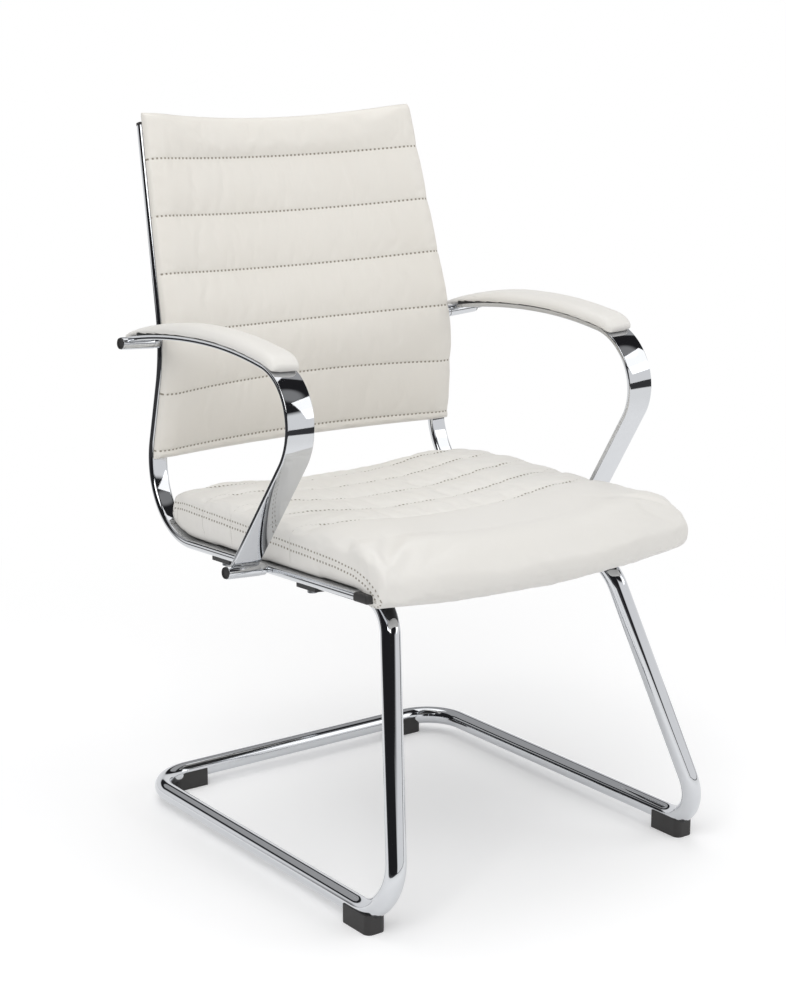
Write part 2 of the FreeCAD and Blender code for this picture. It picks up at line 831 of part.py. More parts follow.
def back_screws_all():
    screws = []
    reach = rail_t / 2 + board_rear + back_board_t - 0.5
    for down in back_screw_places():
        rear = back_at(down, -rail_t / 2 - touch)
        ahead = (back_at(down, rail_t) - rear).normalize()
        head_foot = rear - ahead * back_screw_head_h
        head = Part.makeCylinder(back_screw_head_d / 2, back_screw_head_h, head_foot, ahead)
        shank = Part.makeCylinder(back_screw_d / 2, reach, rear, ahead)
        right = stand(head.fuse(shank).removeSplitter())
        screws += [left_of(right), right]
    return Part.makeCompound(screws)


# Arms

arm_x0 = rail_w / 2 + arm_spacer + touch
arm_mid_x = arm_x0 + arm_bar_w / 2


def arm_curve(inside):
    """Arm bar's line, inside the bar's outer face: rear, highest point, nose, lower end."""
    apex = V(0, arm_apex_y, frame_z(arm_apex_z))
    upper, lower = arm_places()
    rear_c = apex - V(0, 0, arm_rear_r)
    top_c = apex - V(0, 0, arm_top_r)
    reach = (upper.y - arm_apex_y) / arm_rear_r
    rear_turn = math.asin(reach)

    def on(centre, radius, degrees):
        a = math.radians(degrees)
        return centre + V(0, -math.sin(a), math.cos(a)) * (radius - inside)

    nose_c = top_c + (V(0, -math.sin(math.radians(arm_top_turn)), math.cos(math.radians(arm_top_turn)))
                      * (arm_top_r - arm_nose_r))
    end_turn = 90 + arm_nose_turn
    rear = on(rear_c, arm_rear_r, -math.degrees(rear_turn))
    rear_mid = on(rear_c, arm_rear_r, -math.degrees(rear_turn) / 2)
    top = on(top_c, arm_top_r, 0)
    shoulder_mid = on(top_c, arm_top_r, arm_top_turn / 2)
    shoulder = on(top_c, arm_top_r, arm_top_turn)
    nose_mid = on(nose_c, arm_nose_r, (arm_top_turn + end_turn) / 2)
    nose_end = on(nose_c, arm_nose_r, end_turn)
    a = math.radians(end_turn)
    down = V(0, -math.cos(a), -math.sin(a))
    foot_len = (lower - nose_end).dot(down)
    foot = nose_end + down * foot_len
    return {
        "rear": [rear, rear_mid, top],
        "shoulder": [top, shoulder_mid, shoulder],
        "nose": [shoulder, nose_mid, nose_end],
        "foot": [nose_end, foot],
    }


def arm_bar():
    outer = arm_curve(0.0)
    inner = arm_curve(arm_bar_t)
    edges = [
        Part.Arc(*outer["rear"]).toShape(),
        Part.Arc(*outer["shoulder"]).toShape(),
        Part.Arc(*outer["nose"]).toShape(),
        Part.LineSegment(*outer["foot"]).toShape(),
        Part.LineSegment(outer["foot"][1], inner["foot"][1]).toShape(),
        Part.LineSegment(*reversed(inner["foot"])).toShape(),
        Part.Arc(*reversed(inner["nose"])).toShape(),
        Part.Arc(*reversed(inner["shoulder"])).toShape(),
        Part.Arc(*reversed(inner["rear"])).toShape(),
        Part.LineSegment(inner["rear"][0], outer["rear"][0]).toShape(),
    ]
    body = Part.Face(Part.Wire(edges)).extrude(V(arm_bar_w, 0, 0))
    body.translate(V(arm_x0, 0, 0))
    for place in arm_places():
        start = place + V(arm_x0 - arm_bar_w, 0, 0)
        body = body.cut(Part.makeCylinder(arm_socket_d / 2 + touch, arm_bar_w * 3, start, V(1, 0, 0)))
    for point, normal in pad_screw_axes():
        start = point - normal * arm_bar_t * 1.5
        body = body.cut(Part.makeCylinder(pad_screw_d / 2 + fit_gap, arm_bar_t * 3, start, normal))
    return stand(largest(body))


def arm_sockets():
    """Turned sockets at both ends of the bar, threaded inside and plugged outside."""
    sockets = []
    x_axis = V(1, 0, 0)
    for place in arm_places():
        start = place + V(arm_x0, 0, 0)
        body = Part.makeCylinder(arm_socket_d / 2, arm_socket_len, start, x_axis)
        thread = Part.makeCylinder(arm_bolt_d / 2 + fit_gap, arm_bolt_grip + 2, start, x_axis)
        plug_start = start + x_axis * (arm_socket_len - arm_plug_depth)
        bore = Part.makeCylinder(arm_socket_bore / 2, arm_plug_depth, plug_start, x_axis)
        sockets.append(stand(body.cut([thread, bore])))
    return Part.makeCompound(sockets)


def arm_spacers():
    spacers = []
    for place in arm_places():
        start = place + V(rail_w / 2 + touch / 2, 0, 0)
        body = Part.makeCylinder(arm_socket_d / 2, arm_spacer, start, V(1, 0, 0))
        bore = Part.makeCylinder(arm_bolt_d / 2 + fit_gap, arm_spacer, start, V(1, 0, 0))
        right = stand(body.cut(bore))
        spacers += [left_of(right), right]
    return Part.makeCompound(spacers)


def arm_bolts():
    bolts = []
    x_axis = V(1, 0, 0)
    for place in arm_places():
        face = place - x_axis * (rail_w / 2 + touch)
        end = face - x_axis * arm_bolt_head_h
        head = Part.makeCylinder(arm_bolt_head_d / 2, arm_bolt_head_h, end, x_axis)
        shank = Part.makeCylinder(arm_bolt_d / 2, rail_w + arm_spacer + arm_bolt_grip, face, x_axis)
        key = Part.makeCylinder(arm_bolt_d / 2 * 0.7, arm_bolt_head_h / 2, end, x_axis)
        right = stand(head.fuse(shank).removeSplitter().cut(key))
        bolts += [left_of(right), right]
    return Part.makeCompound(bolts)


def arm_plugs():
    plugs = []
    x_axis = V(1, 0, 0)
    for place in arm_places():
        face = place + x_axis * (arm_x0 + arm_socket_len + touch)
        head = Part.makeCylinder(arm_socket_d / 2, arm_plug_head, face, x_axis)
        head = head.makeChamfer(arm_plug_head / 2, [head.Edges[0]])
        stem = Part.makeCylinder(arm_socket_bore / 2 - fit_gap, arm_plug_depth - 1, face, x_axis * -1)
        right = stand(head.fuse(stem).removeSplitter())
        plugs += [left_of(right), right]
    return Part.makeCompound(plugs)


# Arm pads

def arm_top_at(y):
    """Point on the bar's top face and its upward normal at a distance from the apex."""
    apex = V(0, arm_apex_y, frame_z(arm_apex_z))
    ahead = arm_apex_y - y
    if ahead <= 0:
        radius = arm_rear_r
        turn = math.asin(ahead / radius)
        centre = apex - V(0, 0, radius)
    else:
        radius = arm_top_r
        limit = radius * math.sin(math.radians(arm_top_turn))
        centre = apex - V(0, 0, radius)
        if ahead <= limit:
            turn = math.asin(ahead / radius)
        else:
            a = math.radians(arm_top_turn)
            arm = V(0, -math.sin(a), math.cos(a))
            centre = centre + arm * (arm_top_r - arm_nose_r)
            radius = arm_nose_r
            turn = math.asin(min((centre.y - y) / radius, 0.95))
    normal = V(0, -math.sin(turn), math.cos(turn))
    return centre + normal * radius, normal


def pad_section(y, width, height):
    """Pad outline square to the bar: flat below, drawn-in sides, crowned top."""
    foot, normal = arm_top_at(y)
    foot = foot + normal * soft_gap + V(arm_mid_x, 0, 0)
    half = width / 2
    x_axis = V(1, 0, 0)

    def at(u, v):
        return foot + x_axis * u + normal * v

    low = half * 0.86
    belly = height * 0.42
    brow = half * 0.42
    brow_v = height * 0.985
    edges = [
        Part.LineSegment(at(-low, 0), at(low, 0)).toShape(),
        Part.Arc(at(low, 0), at(half * 0.985, belly * 0.45), at(half, belly)).toShape(),
        Part.Arc(at(half, belly), at(half * 0.80, height * 0.86), at(brow, brow_v)).toShape(),
        Part.Arc(at(brow, brow_v), at(0, height), at(-brow, brow_v)).toShape(),
        Part.Arc(at(-brow, brow_v), at(-half * 0.80, height * 0.86), at(-half, belly)).toShape(),
        Part.Arc(at(-half, belly), at(-half * 0.985, belly * 0.45), at(-low, 0)).toShape(),
    ]
    return Part.Wire(edges)


def pad_core(low, high, grow):
    """Strip along the bar's top face between two heights above it."""
    front = arm_apex_y - pad_front + pad_core_end - grow
    rear = arm_apex_y + pad_rear - pad_core_end * 2 + grow
    lower = []
    upper = []
    for y in (front, (front + arm_apex_y) / 2, arm_apex_y, (rear + arm_apex_y) / 2, rear):
        foot, normal = arm_top_at(y)
        lower.append(foot + normal * low)
        upper.append(foot + normal * high)
    edges = [
        Part.Arc(*lower[:3]).toShape(),
        Part.Arc(*lower[2:]).toShape(),
        Part.LineSegment(lower[-1], upper[-1]).toShape(),
        Part.Arc(*reversed(upper[2:])).toShape(),
        Part.Arc(*reversed(upper[:3])).toShape(),
        Part.LineSegment(upper[0], lower[0]).toShape(),
    ]
    body = Part.Face(Part.Wire(edges)).extrude(V(pad_core_w + 2 * grow, 0, 0))
    body.translate(V(arm_mid_x - pad_core_w / 2 - grow, 0, 0))
    return body


def arm_pad_core():
    body = pad_core(touch, touch + pad_core_t, 0)
    for point, normal in pad_screw_axes():
        start = point - normal * arm_bar_t * 1.5
        body = body.cut(Part.makeCylinder(pad_screw_d / 2 + fit_gap, arm_bar_t * 3, start, normal))
    return stand(body)


def arm_pad():
    front = arm_apex_y - pad_front
    rear = arm_apex_y + pad_rear
    length = rear - front
    sections = []
    for i in range(pad_stations + 1):
        share = (1 - math.cos(math.pi * i / pad_stations)) / 2
        nose = math.sqrt(min(1.0, (share + 0.004) / pad_nose_share))
        tail = math.sqrt(min(1.0, (1 - share + 0.006) / pad_tail_share))
        width = pad_w * (0.72 + 0.28 * nose) * (0.30 + 0.70 * tail)
        height = pad_h * (0.45 + 0.55 * nose) * (0.16 + 0.84 * tail)
        sections.append(pad_section(front + length * share, width, height))
    body = Part.makeLoft(sections, True, False)
    body = body.cut(pad_core(-pad_core_t, touch + pad_core_t + soft_gap, soft_gap))
    for point, normal in pad_screw_axes():
        depth = pad_core_t + pad_screw_over + soft_gap
        body = body.cut(Part.makeCylinder(pad_screw_d / 2 + soft_gap, depth, point, normal))
    return stand(largest(body))


def pad_screw_axes():
    axes = []
    for y in (arm_apex_y - pad_screw_front, arm_apex_y + pad_screw_rear):
        foot, normal = arm_top_at(y)
        axes.append((foot + V(arm_mid_x, 0, 0), normal))
    return axes


def arm_pad_screws():
    screws = []
    for foot, normal in pad_screw_axes():
        under = foot - normal * (arm_bar_t + touch)
        end = under - normal * pad_screw_head_h
        head = Part.makeCylinder(pad_screw_head_d / 2, pad_screw_head_h, end, normal)
        shank = Part.makeCylinder(pad_screw_d / 2, arm_bar_t + pad_core_t + pad_screw_over, under, normal)
        right = stand(head.fuse(shank).removeSplitter())
        screws += [left_of(right), right]
    return Part.makeCompound(screws)


# Writing the nodes

def save(name, shape):
    shape.exportStep("parts/" + name + ".step")
    box = shape.BoundBox
    print(name, len(shape.Solids), shape.isValid(), round(shape.Volume),
          [round(v, 1) for v in (box.XMin, box.XMax, box.YMin, box.YMax, box.ZMin, box.ZMax)])


def save_pair(name, right):
    save(name + "_right", right)
    save(name + "_left", left_of(right))


def main():
    os.makedirs("parts", exist_ok=True)
    save("sled_base", sled_base())
    save("base_end_plugs", base_end_plugs())
    names = ["glide_front_left", "glide_front_right", "glide_rear_left", "glide_rear_right"]
    for name, place in zip(names, glide_places()):
        save(name, glide(*place))
    save("glide_screws", glide_screws())
    save_pair("side_rail", rail())
    save("rail_top_caps", rail_caps(True))
    save("rail_front_caps", rail_caps(False))
    save("cross_plate_front", cross_plate(plate_front_y))
    save("cross_plate_rear", cross_plate(plate_rear_y))
    save("rail_bolts", rail_bolts())
    save("seat_board", seat_board())
    save("seat_bolts", seat_bolts())
    save("seat_tnuts", seat_tnuts())
    save("seat_cushion", seat_cushion())
    save("back_cover", back_cover())
    save("back_board", back_board())
    save("back_cushion", back_cushion())
    save("back_screws", back_screws_all())
    save_pair("arm_bar", arm_bar())
    save_pair("arm_sockets", arm_sockets())
    save("arm_spacers", arm_spacers())
    save("arm_bolts", arm_bolts())
    save("arm_plugs", arm_plugs())
    save_pair("arm_pad_core", arm_pad_core())
    save_pair("arm_pad", arm_pad())
    save("arm_pad_screws", arm_pad_screws())


main()
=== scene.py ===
import math

import bmesh
import bpy
import numpy as np
from mathutils import Matrix, Vector


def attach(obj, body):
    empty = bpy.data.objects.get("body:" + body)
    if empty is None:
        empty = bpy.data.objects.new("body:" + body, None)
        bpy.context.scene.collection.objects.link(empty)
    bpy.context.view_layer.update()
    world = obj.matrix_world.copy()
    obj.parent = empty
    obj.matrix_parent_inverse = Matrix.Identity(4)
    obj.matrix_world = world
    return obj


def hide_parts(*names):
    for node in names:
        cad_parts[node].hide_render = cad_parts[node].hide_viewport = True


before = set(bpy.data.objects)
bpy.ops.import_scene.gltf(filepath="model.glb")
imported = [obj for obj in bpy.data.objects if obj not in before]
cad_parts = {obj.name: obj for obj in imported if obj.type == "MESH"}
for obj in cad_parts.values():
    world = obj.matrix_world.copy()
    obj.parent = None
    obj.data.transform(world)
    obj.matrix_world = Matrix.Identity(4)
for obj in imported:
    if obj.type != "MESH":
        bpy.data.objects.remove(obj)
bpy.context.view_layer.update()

bl_info = {
    "name": "Sled base visitor chair",
    "version": (1, 0, 0),
    "blender": (4, 5, 0),
    "location": "View3D > Sidebar > Chair",
    "description": "Dresses the visitor chair: chrome frame, stitched seat and back, padded arms",
    "category": "Object",
}

# Millimetres on the chair become metres in the scene.
MM = 0.001

# Side frame, in its own plane: Y rearwards and Z up from the rail's reference height
RAIL_X, FRAME_Y, RAIL_Z = 236.0, -6.0, 390.0
LEAN = math.radians(3.7)
SIDE = Matrix.Translation(Vector((RAIL_X, FRAME_Y, RAIL_Z)) * MM) @ Matrix.Rotation(-LEAN, 4, "Y")
RAIL_LINE = [Vector((0, -232, 9.32)), Vector((0, 260, -13.03)), Vector((0, 223, 232.18)),
             Vector((0, 298, 516.08))]
RAIL_EDGE_R = 0.0045
KNEE_R = 102.5
LUMBAR_R = 235.0
SOCKETS = [Vector((0, 228.77, 242.34)), Vector((0, -44.0, 0.78))]
SOCKET_X, SOCKET_LEN = 0.02105, 0.046
SPACER_X, SPACER_LEN = 0.0131, 0.0078

# Arm bar: its highest point in the side frame, its three bends and the slope of its straight foot
ARM_APEX = Vector((0, 0.032, 0.27007))
ARM_REAR_R, ARM_TOP_R, ARM_NOSE_R = 1.0, 0.7, 0.075
ARM_TOP_TURN = math.radians(10)
ARM_SLOPE = math.radians(34.3)

# Back pad, in millimetres down the rails from its top edge and ahead of the rails' middle: its sewn
# lines, the dip of its top edge, how far the pad and its board are hollowed towards the middle,
# where the front's edge starts and how far it rolls forward, and how far the channels stand out
BACK_LEN = 454.0
BACK_SEAMS = [62.0 + 75.0 * i for i in range(5)] + [441.0]
BACK_HALF = 233.0
BACK_ABOVE_RAIL = 15.5
BACK_DROP, BACK_DROP_REACH = 7.0, 58.0
BACK_RECESS = 26.0
BOARD_RECESS = 28.0
BACK_FLAT_SHARE = 0.90
BOARD_SHARE = 0.858
BACK_EDGE_AHEAD, BACK_ROLL = 12.1, 6.3
BACK_PUFF, BACK_PUFF_REACH = 2.2, 22.0

# Seat: half width at the side panels' seam, and its sewn lines from front to rear
SEAT_HALF = 0.236
SEAT_STAND_OUT = 0.0045
SEAT_SEAMS = [-0.106 + 0.066 * i for i in range(5)]
SEAM_REACH = 0.05
TOPSTITCH_OFF = 4.2

# Sums that materials make
TIMES = {"operation": "MULTIPLY"}
TIMES_PLUS = {"operation": "MULTIPLY_ADD"}
PLUS = {"operation": "ADD", "use_clamp": True}
LESS = {"operation": "SUBTRACT", "use_clamp": True}
LARGER = {"operation": "MAXIMUM"}


def srgb(code):
    """Linear colour of a hex value written in sRGB."""
    parts = [int(code[i:i + 2], 16) / 255 for i in (0, 2, 4)]
    return tuple(c / 12.92 if c <= 0.04045 else ((c + 0.055) / 1.055) ** 2.4 for c in parts)


# Sizes and colours that a user would change

class ChairSizes(bpy.types.PropertyGroup):
    tube: bpy.props.FloatProperty(
        name="Base tube", description="Outer diameter of the sled base's tube",
        default=0.025, min=0.015, max=0.04, subtype="DISTANCE", unit="LENGTH")
    rail_width: bpy.props.FloatProperty(
        name="Rail width", description="Width of the side rails' flat face",
        default=0.026, min=0.015, max=0.04, subtype="DISTANCE", unit="LENGTH")
    rail_thickness: bpy.props.FloatProperty(
        name="Rail thickness", description="Thickness of the side rails",
        default=0.011, min=0.008, max=0.02, subtype="DISTANCE", unit="LENGTH")
    arm_width: bpy.props.FloatProperty(
        name="Arm bar width", description="Width of the flat arm bars",
        default=0.038, min=0.02, max=0.05, subtype="DISTANCE", unit="LENGTH")
    arm_thickness: bpy.props.FloatProperty(
        name="Arm bar thickness", description="Thickness of the flat arm bars",
        default=0.006, min=0.004, max=0.01, subtype="DISTANCE", unit="LENGTH")
    socket: bpy.props.FloatProperty(
        name="Arm socket", description="Diameter of the turned sockets at the arm bars' ends",
        default=0.016, min=0.01, max=0.02, subtype="DISTANCE", unit="LENGTH")
    stitch: bpy.props.FloatProperty(
        name="Stitch length", description="Distance from one needle hole to the next",
        default=0.0062, min=0.002, max=0.01, subtype="DISTANCE", unit="LENGTH")


class ChairFinishes(bpy.types.PropertyGroup):
    cover: bpy.props.FloatVectorProperty(
        name="Leatherette", description="Colour of the imitation leather",
        default=srgb("E6E4E0"), size=3, min=0, max=1, subtype="COLOR")
    chrome: bpy.props.FloatVectorProperty(
        name="Chrome plate", description="Colour of the polished chrome",
        default=srgb("D3D5D8"), size=3, min=0, max=1, subtype="COLOR")
    plastic: bpy.props.FloatVectorProperty(
        name="Black plastic", description="Colour of the glides and plugs",
        default=srgb("2B2A2A"), size=3, min=0, max=1, subtype="COLOR")


def sizes():
    return bpy.context.scene.chair_sizes


def finishes():
    return bpy.context.scene.chair_finishes


# Materials

def node(tree, kind, settings=None, links=None):
    """Add one shader node with its settings, and feed its inputs from links or numbers."""
    made = tree.nodes.new("ShaderNode" + kind)
    for key, value in (settings or {}).items():
        if isinstance(key, str) and hasattr(made, key):
            setattr(made, key, value)
        else:
            made.inputs[key].default_value = value
    for key, source in (links or {}).items():
        if isinstance(source, (int, float)):
            made.inputs[key].default_value = source
        elif isinstance(source, bpy.types.Node):
            tree.links.new(source.outputs[0], made.inputs[key])
        else:
            tree.links.new(source, made.inputs[key])
    return made


def smooth(start, end):
    """Settings of a soft step from 0 at the start to 1 at the end."""
    return {"interpolation_type": "SMOOTHSTEP", "From Min": start, "From Max": end}


def grain(millimetres):
    """Scale of a texture whose grain has a size in millimetres."""
    return 1000.0 / millimetres


def empty_tree(owner):
    owner.use_nodes = True
    owner.node_tree.nodes.clear()
    return owner.node_tree


def new_material(name, settings):
    """A material with its shader set, and the place on the piece that its patterns read."""
    made = bpy.data.materials.new(name)
    tree = empty_tree(made)
    shader = node(tree, "BsdfPrincipled", settings)
    node(tree, "OutputMaterial", None, {0: shader})
    return made, tree, shader, node(tree, "TexCoord").outputs["Object"]


def material(maker, name, *args):
    """A material by name, made once."""
    found = bpy.data.materials.get(name)
    return found or maker(name, *args)


def patterned(name, settings, pattern, tones, polish=None, relief=None, stretch=None):
    """A finish with a pattern in its tone, and in its polish and relief where they are given."""
    made, tree, shader, place = new_material(name, settings)
    if stretch:
        place = node(tree, "Mapping", {"Scale": stretch}, {"Vector": place})
    shade = node(tree, *pattern, {"Vector": place})
    light, dark = [(*tone, 1) for tone in tones]
    tint = node(tree, "Mix", {"data_type": "RGBA", 6: light, 7: dark}, {"Factor": shade})
    tree.links.new(tint.outputs[2], shader.inputs["Base Color"])
    if polish:
        rough = node(tree, "MapRange", {"To Min": polish[0], "To Max": polish[1]}, {"Value": shade})
        tree.links.new(rough.outputs[0], shader.inputs["Roughness"])
    if relief:
        own, strength, depth = relief
        height = node(tree, *own, {"Vector": place}) if own else shade
        bump = node(tree, "Bump", {"Strength": strength, "Distance": depth}, {"Height": height})
        tree.links.new(bump.outputs[0], shader.inputs["Normal"])
    return made


def chrome_plate(name):
    # Chrome plated steel, polished: a mirror with faint haze in patches of about 17 mm.
    # The tube under the plate is never quite even: waves of about 29 mm, a few hundredths deep
    chrome = finishes().chrome
    return patterned(name, {"Metallic": 1.0}, ("TexNoise", {"Scale": grain(16.7), "Detail": 3.0}),
                     (chrome, [c * 0.96 for c in chrome]), (0.030, 0.065),
                     (("TexNoise", {"Scale": grain(29.4), "Detail": 1.0}), 0.5, 0.00006))


def black_polypropylene(name):
    # Moulded polypropylene with spark-eroded grain: dull black that greys at the edges of light.
    # Grain of 0.4 mm, drawn at 0.8 mm so that it shows
    black = finishes().plastic
    return patterned(name, {"Roughness": 0.55, "IOR": 1.49},
                     ("TexNoise", {"Scale": grain(22.2), "Detail": 4.0}), (black, [c * 1.5 for c in black]),
                     None, (("TexNoise", {"Scale": grain(0.8), "Detail": 2.0}), 0.35, 0.0002))


def black_powder_coat(name):
    # Powder coated steel plate: satin black with pebbles of 1 mm.
    return patterned(name, {"Roughness": 0.42}, ("TexNoise", {"Scale": grain(55.6), "Detail": 3.0}),
                     (srgb("1E1E1F"), srgb("29292A")), None,
                     (("TexNoise", {"Scale": grain(1.0), "Detail": 1.0}), 0.3, 0.0002))


def zinc_plate(name):
    # Zinc plated screws: dull silver with cloudy crystals of about 2 mm.
    return patterned(name, {"Metallic": 1.0}, ("TexVoronoi", {"Scale": grain(2.0)}),
                     (srgb("B9BBBE"), srgb("A5A8AC")), (0.26, 0.42))


def birch_plywood(name):
    # Raw birch plywood: pale, with plies of about 1.4 mm at the edges and a long soft figure on the face.
    return patterned(name, {"Roughness": 0.62}, ("TexNoise", {"Scale": grain(125.0), "Detail": 6.0}),
                     (srgb("DDBE90"), srgb("B98F5E")), None, (None, 0.3, 0.0002), (1.0, 12.0, 90.0))


def dust_cloth(name):
    # Non-woven black cloth glued over the seat board: matt, with a fibre grain of 2 mm.
    return patterned(name, {"Roughness": 0.95, "Sheen Weight": 0.15},
                     ("TexNoise", {"Scale": grain(2.0), "Detail": 4.0}),
                     (srgb("1C1B1B"), srgb("2C2B2A")), None, (None, 0.5, 0.0003))


def leatherette(name, lines=(), topstitched=(), warmth=(1, 1, 1)):
    # Polyurethane leatherette over foam: soft semi-matt ivory, fine pebble grain, creased at its sewn lines,
    # with painted shade in the creases and needle holes.
    made, tree, shader, place = new_material(
        name, {"Roughness": 0.46, "IOR": 1.46, "Coat Weight": 0.06, "Coat Roughness": 0.35})
    cloud = node(tree, "TexNoise", {"Scale": grain(111.0), "Detail": 3.0}, {"Vector": place})
    fresh = [c * k for c, k in zip(finishes().cover, warmth)]
    deep = [c * k for c, k in zip(fresh, (0.965, 0.96, 0.945))]
    tint = node(tree, "Mix", {"data_type": "RGBA", 6: (*fresh, 1), 7: (*deep, 1)}, {"Factor": cloud})
    colour = tint.outputs[2]
    # Pebble grain: 0.7 mm on the roll, drawn at 1.2 mm so that it shows
    pebble = node(tree, "TexVoronoi", {"feature": "SMOOTH_F1", "Scale": grain(1.2)}, {"Vector": place})
    height = node(tree, "Math", TIMES, {0: pebble, 1: 0.05})
    # Slack in the cover: soft ripples about 31 mm long
    ripple = node(tree, "TexNoise", {"Scale": grain(31.25), "Detail": 2.0}, {"Vector": place})
    height = node(tree, "Math", TIMES_PLUS, {0: ripple, 1: 0.5, 2: height})
    stitch = sizes().stitch / MM
    for uv_name in lines:
        # The map holds metres along the sewn line and across it
        sewn = node(tree, "UVMap", {"uv_map": uv_name})
        parts = node(tree, "SeparateXYZ", None, {0: sewn})
        along = node(tree, "Math", TIMES, {0: parts.outputs[0], 1: 1 / MM})
        across = node(tree, "Math", TIMES, {0: parts.outputs[1], 1: 1 / MM})
        across = node(tree, "Math", {"operation": "ABSOLUTE"}, {0: across})
        crease = node(tree, "MapRange", smooth(1.7, 0.0), {"Value": across})
        height = node(tree, "Math", TIMES_PLUS, {0: crease, 1: -0.32, 2: height})
        # Painted shade: the cover darkens towards C3BBAA in the crease of the sewn line
        shade = node(tree, "Math", {"operation": "POWER"}, {0: crease, 1: 2.0})
        shade = node(tree, "Math", TIMES, {0: shade, 1: 0.08})
        tint = node(tree, "Mix", {"data_type": "RGBA", 7: (*srgb("C3BBAA"), 1)}, {"Factor": shade, 6: colour})
        # Needle holes, with painted shade darkening them towards 857D6E: in the line itself, or beside it
        # where the seam is topstitched
        row = TOPSTITCH_OFF if uv_name in topstitched else 0.0
        off = node(tree, "Math", {"operation": "SUBTRACT"}, {0: across, 1: row})
        off = node(tree, "Math", {"operation": "ABSOLUTE"}, {0: off})
        near = node(tree, "MapRange", {"From Min": 1.5, "From Max": 0.9}, {"Value": off})
        step = node(tree, "Math", {"operation": "PINGPONG"}, {0: along, 1: stitch / 2})
        hole = node(tree, "MapRange", {"From Min": stitch * 0.27, "From Max": stitch * 0.17}, {"Value": step})
        hole = node(tree, "Math", TIMES, {0: hole, 1: near})
        # Painted shade in the needle holes
        hole_shade = node(tree, "Math", TIMES, {0: hole, 1: 0.9})
        tint = node(tree, "Mix", {"data_type": "RGBA", 7: (*srgb("857D6E"), 1)},
                    {"Factor": hole_shade, 6: tint.outputs[2]})
        colour = tint.outputs[2]
        height = node(tree, "Math", TIMES_PLUS, {0: hole, 1: -0.6, 2: height})
    tree.links.new(colour, shader.inputs["Base Color"])
    bump = node(tree, "Bump", {"Strength": 0.7, "Distance": 0.001}, {"Height": height})
    tree.links.new(bump.outputs[0], shader.inputs["Normal"])
    return made


# Making pieces

def shade_by_angle(bm, degrees):
    """Smooth faces, with crisp edges where they turn by more than an angle."""
    for face in bm.faces:
        face.smooth = True
    for edge in bm.edges:
        edge.smooth = len(edge.link_faces) == 2 and edge.calc_face_angle(0) < math.radians(degrees)


def finish_piece(name, bm, finish, replaced=()):
    """Turn a bmesh into a piece of the chair that rides on its body."""
    mesh = bpy.data.meshes.new(name)
    bm.to_mesh(mesh)
    bm.free()
    mesh.materials.append(finish)
    piece = bpy.data.objects.new(name, mesh)
    bpy.context.scene.collection.objects.link(piece)
    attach(piece, "root")
    if replaced:
        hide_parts(*replaced)
    return piece


def bevelled(piece, width):
    """Break a piece's crisp edges."""
    bevel = piece.modifiers.new("Broken edges", "BEVEL")
    bevel.width = width
    bevel.segments = 2
    bevel.limit_method = "ANGLE"
    bevel.angle_limit = math.radians(40)
    bevel.harden_normals = True


def stand(bm, side):
    """Lean a piece of the side frame and put it on its side of the chair."""
    bmesh.ops.transform(bm, matrix=SIDE, verts=bm.verts)
    if side == "left":
        bmesh.ops.transform(bm, matrix=Matrix.Scale(-1, 4, (1, 0, 0)), verts=bm.verts)
        bmesh.ops.reverse_faces(bm, faces=bm.faces)


def joined_node(name):
    """The mesh of a CAD node with its loose triangles joined."""
    bm = bmesh.new()
    bm.from_mesh(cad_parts[name].data)
    bmesh.ops.remove_doubles(bm, verts=bm.verts, dist=2e-6)
    return bm


def dressed_node(name, finish, degrees=35):
    """A CAD node's own shape with smooth shading and its finish."""
    bm = joined_node(name)
    bmesh.ops.dissolve_limit(bm, angle_limit=math.radians(0.4), verts=bm.verts, edges=bm.edges)
    shade_by_angle(bm, degrees)
    return finish_piece(name + "_finished", bm, finish, [name])


def slab_outline(bm, width, height, corner, steps):
    """Closed outline of a bar with rounded edges, in the XZ plane round the origin."""
    made = bmesh.ops.create_grid(bm, x_segments=1, y_segments=1, size=0.5)
    bmesh.ops.scale(bm, vec=(width, height, 1), verts=made["verts"])
    bmesh.ops.rotate(bm, matrix=Matrix.Rotation(math.pi / 2, 3, "X"), verts=made["verts"])
    bmesh.ops.bevel(bm, geom=bm.verts[:], offset=corner, offset_type="OFFSET", segments=steps,
                    profile=0.5, affect="VERTICES", material=-1)
    edges = bm.edges[:]
    bmesh.ops.delete(bm, geom=bm.faces[:], context="FACES_ONLY")
    return edges


def face_along(bm, direction, place):
    """Turn an outline that looks along Y so that it looks along a direction, and put it in place."""
    turn = Vector((0, 1, 0)).rotation_difference(direction).to_matrix().to_4x4()
    bmesh.ops.transform(bm, matrix=Matrix.Translation(place) @ turn, verts=bm.verts)


def run(bm, edges, step):
    """Carry an outline straight on."""
    made = bmesh.ops.extrude_edge_only(bm, edges=edges)["geom"]
    verts = {v for v in made if isinstance(v, bmesh.types.BMVert)}
    bmesh.ops.translate(bm, verts=list(verts), vec=step)
    return [e for e in made if isinstance(e, bmesh.types.BMEdge) and set(e.verts) <= verts]


def bend(bm, edges, centre, axis, angle, steps):
    """Carry an outline round a bend."""
    made = bmesh.ops.spin(bm, geom=edges, cent=centre, axis=axis, dvec=(0, 0, 0), angle=angle,
                          space=Matrix.Identity(4), steps=steps, use_duplicate=False)["geom_last"]
    return [e for e in made if isinstance(e, bmesh.types.BMEdge)]


def carry(bm, edges, points, radii, steps):
    """Carry an outline along straight runs with a bend at each corner."""
    here = points[0]
    for i, radius in enumerate(radii):
        corner = points[i + 1]
        back = (points[i] - corner).normalized()
        ahead = (points[i + 2] - corner).normalized()
        half = back.angle(ahead) / 2
        first = corner + back * (radius / math.tan(half))
        centre = corner + (back + ahead).normalized() * (radius / math.sin(half))
        edges = run(bm, edges, first - here)
        edges = bend(bm, edges, centre, ahead.cross(back).normalized(), math.pi - 2 * half, steps)
        here = corner + ahead * (radius / math.tan(half))
    return run(bm, edges, points[-1] - here)


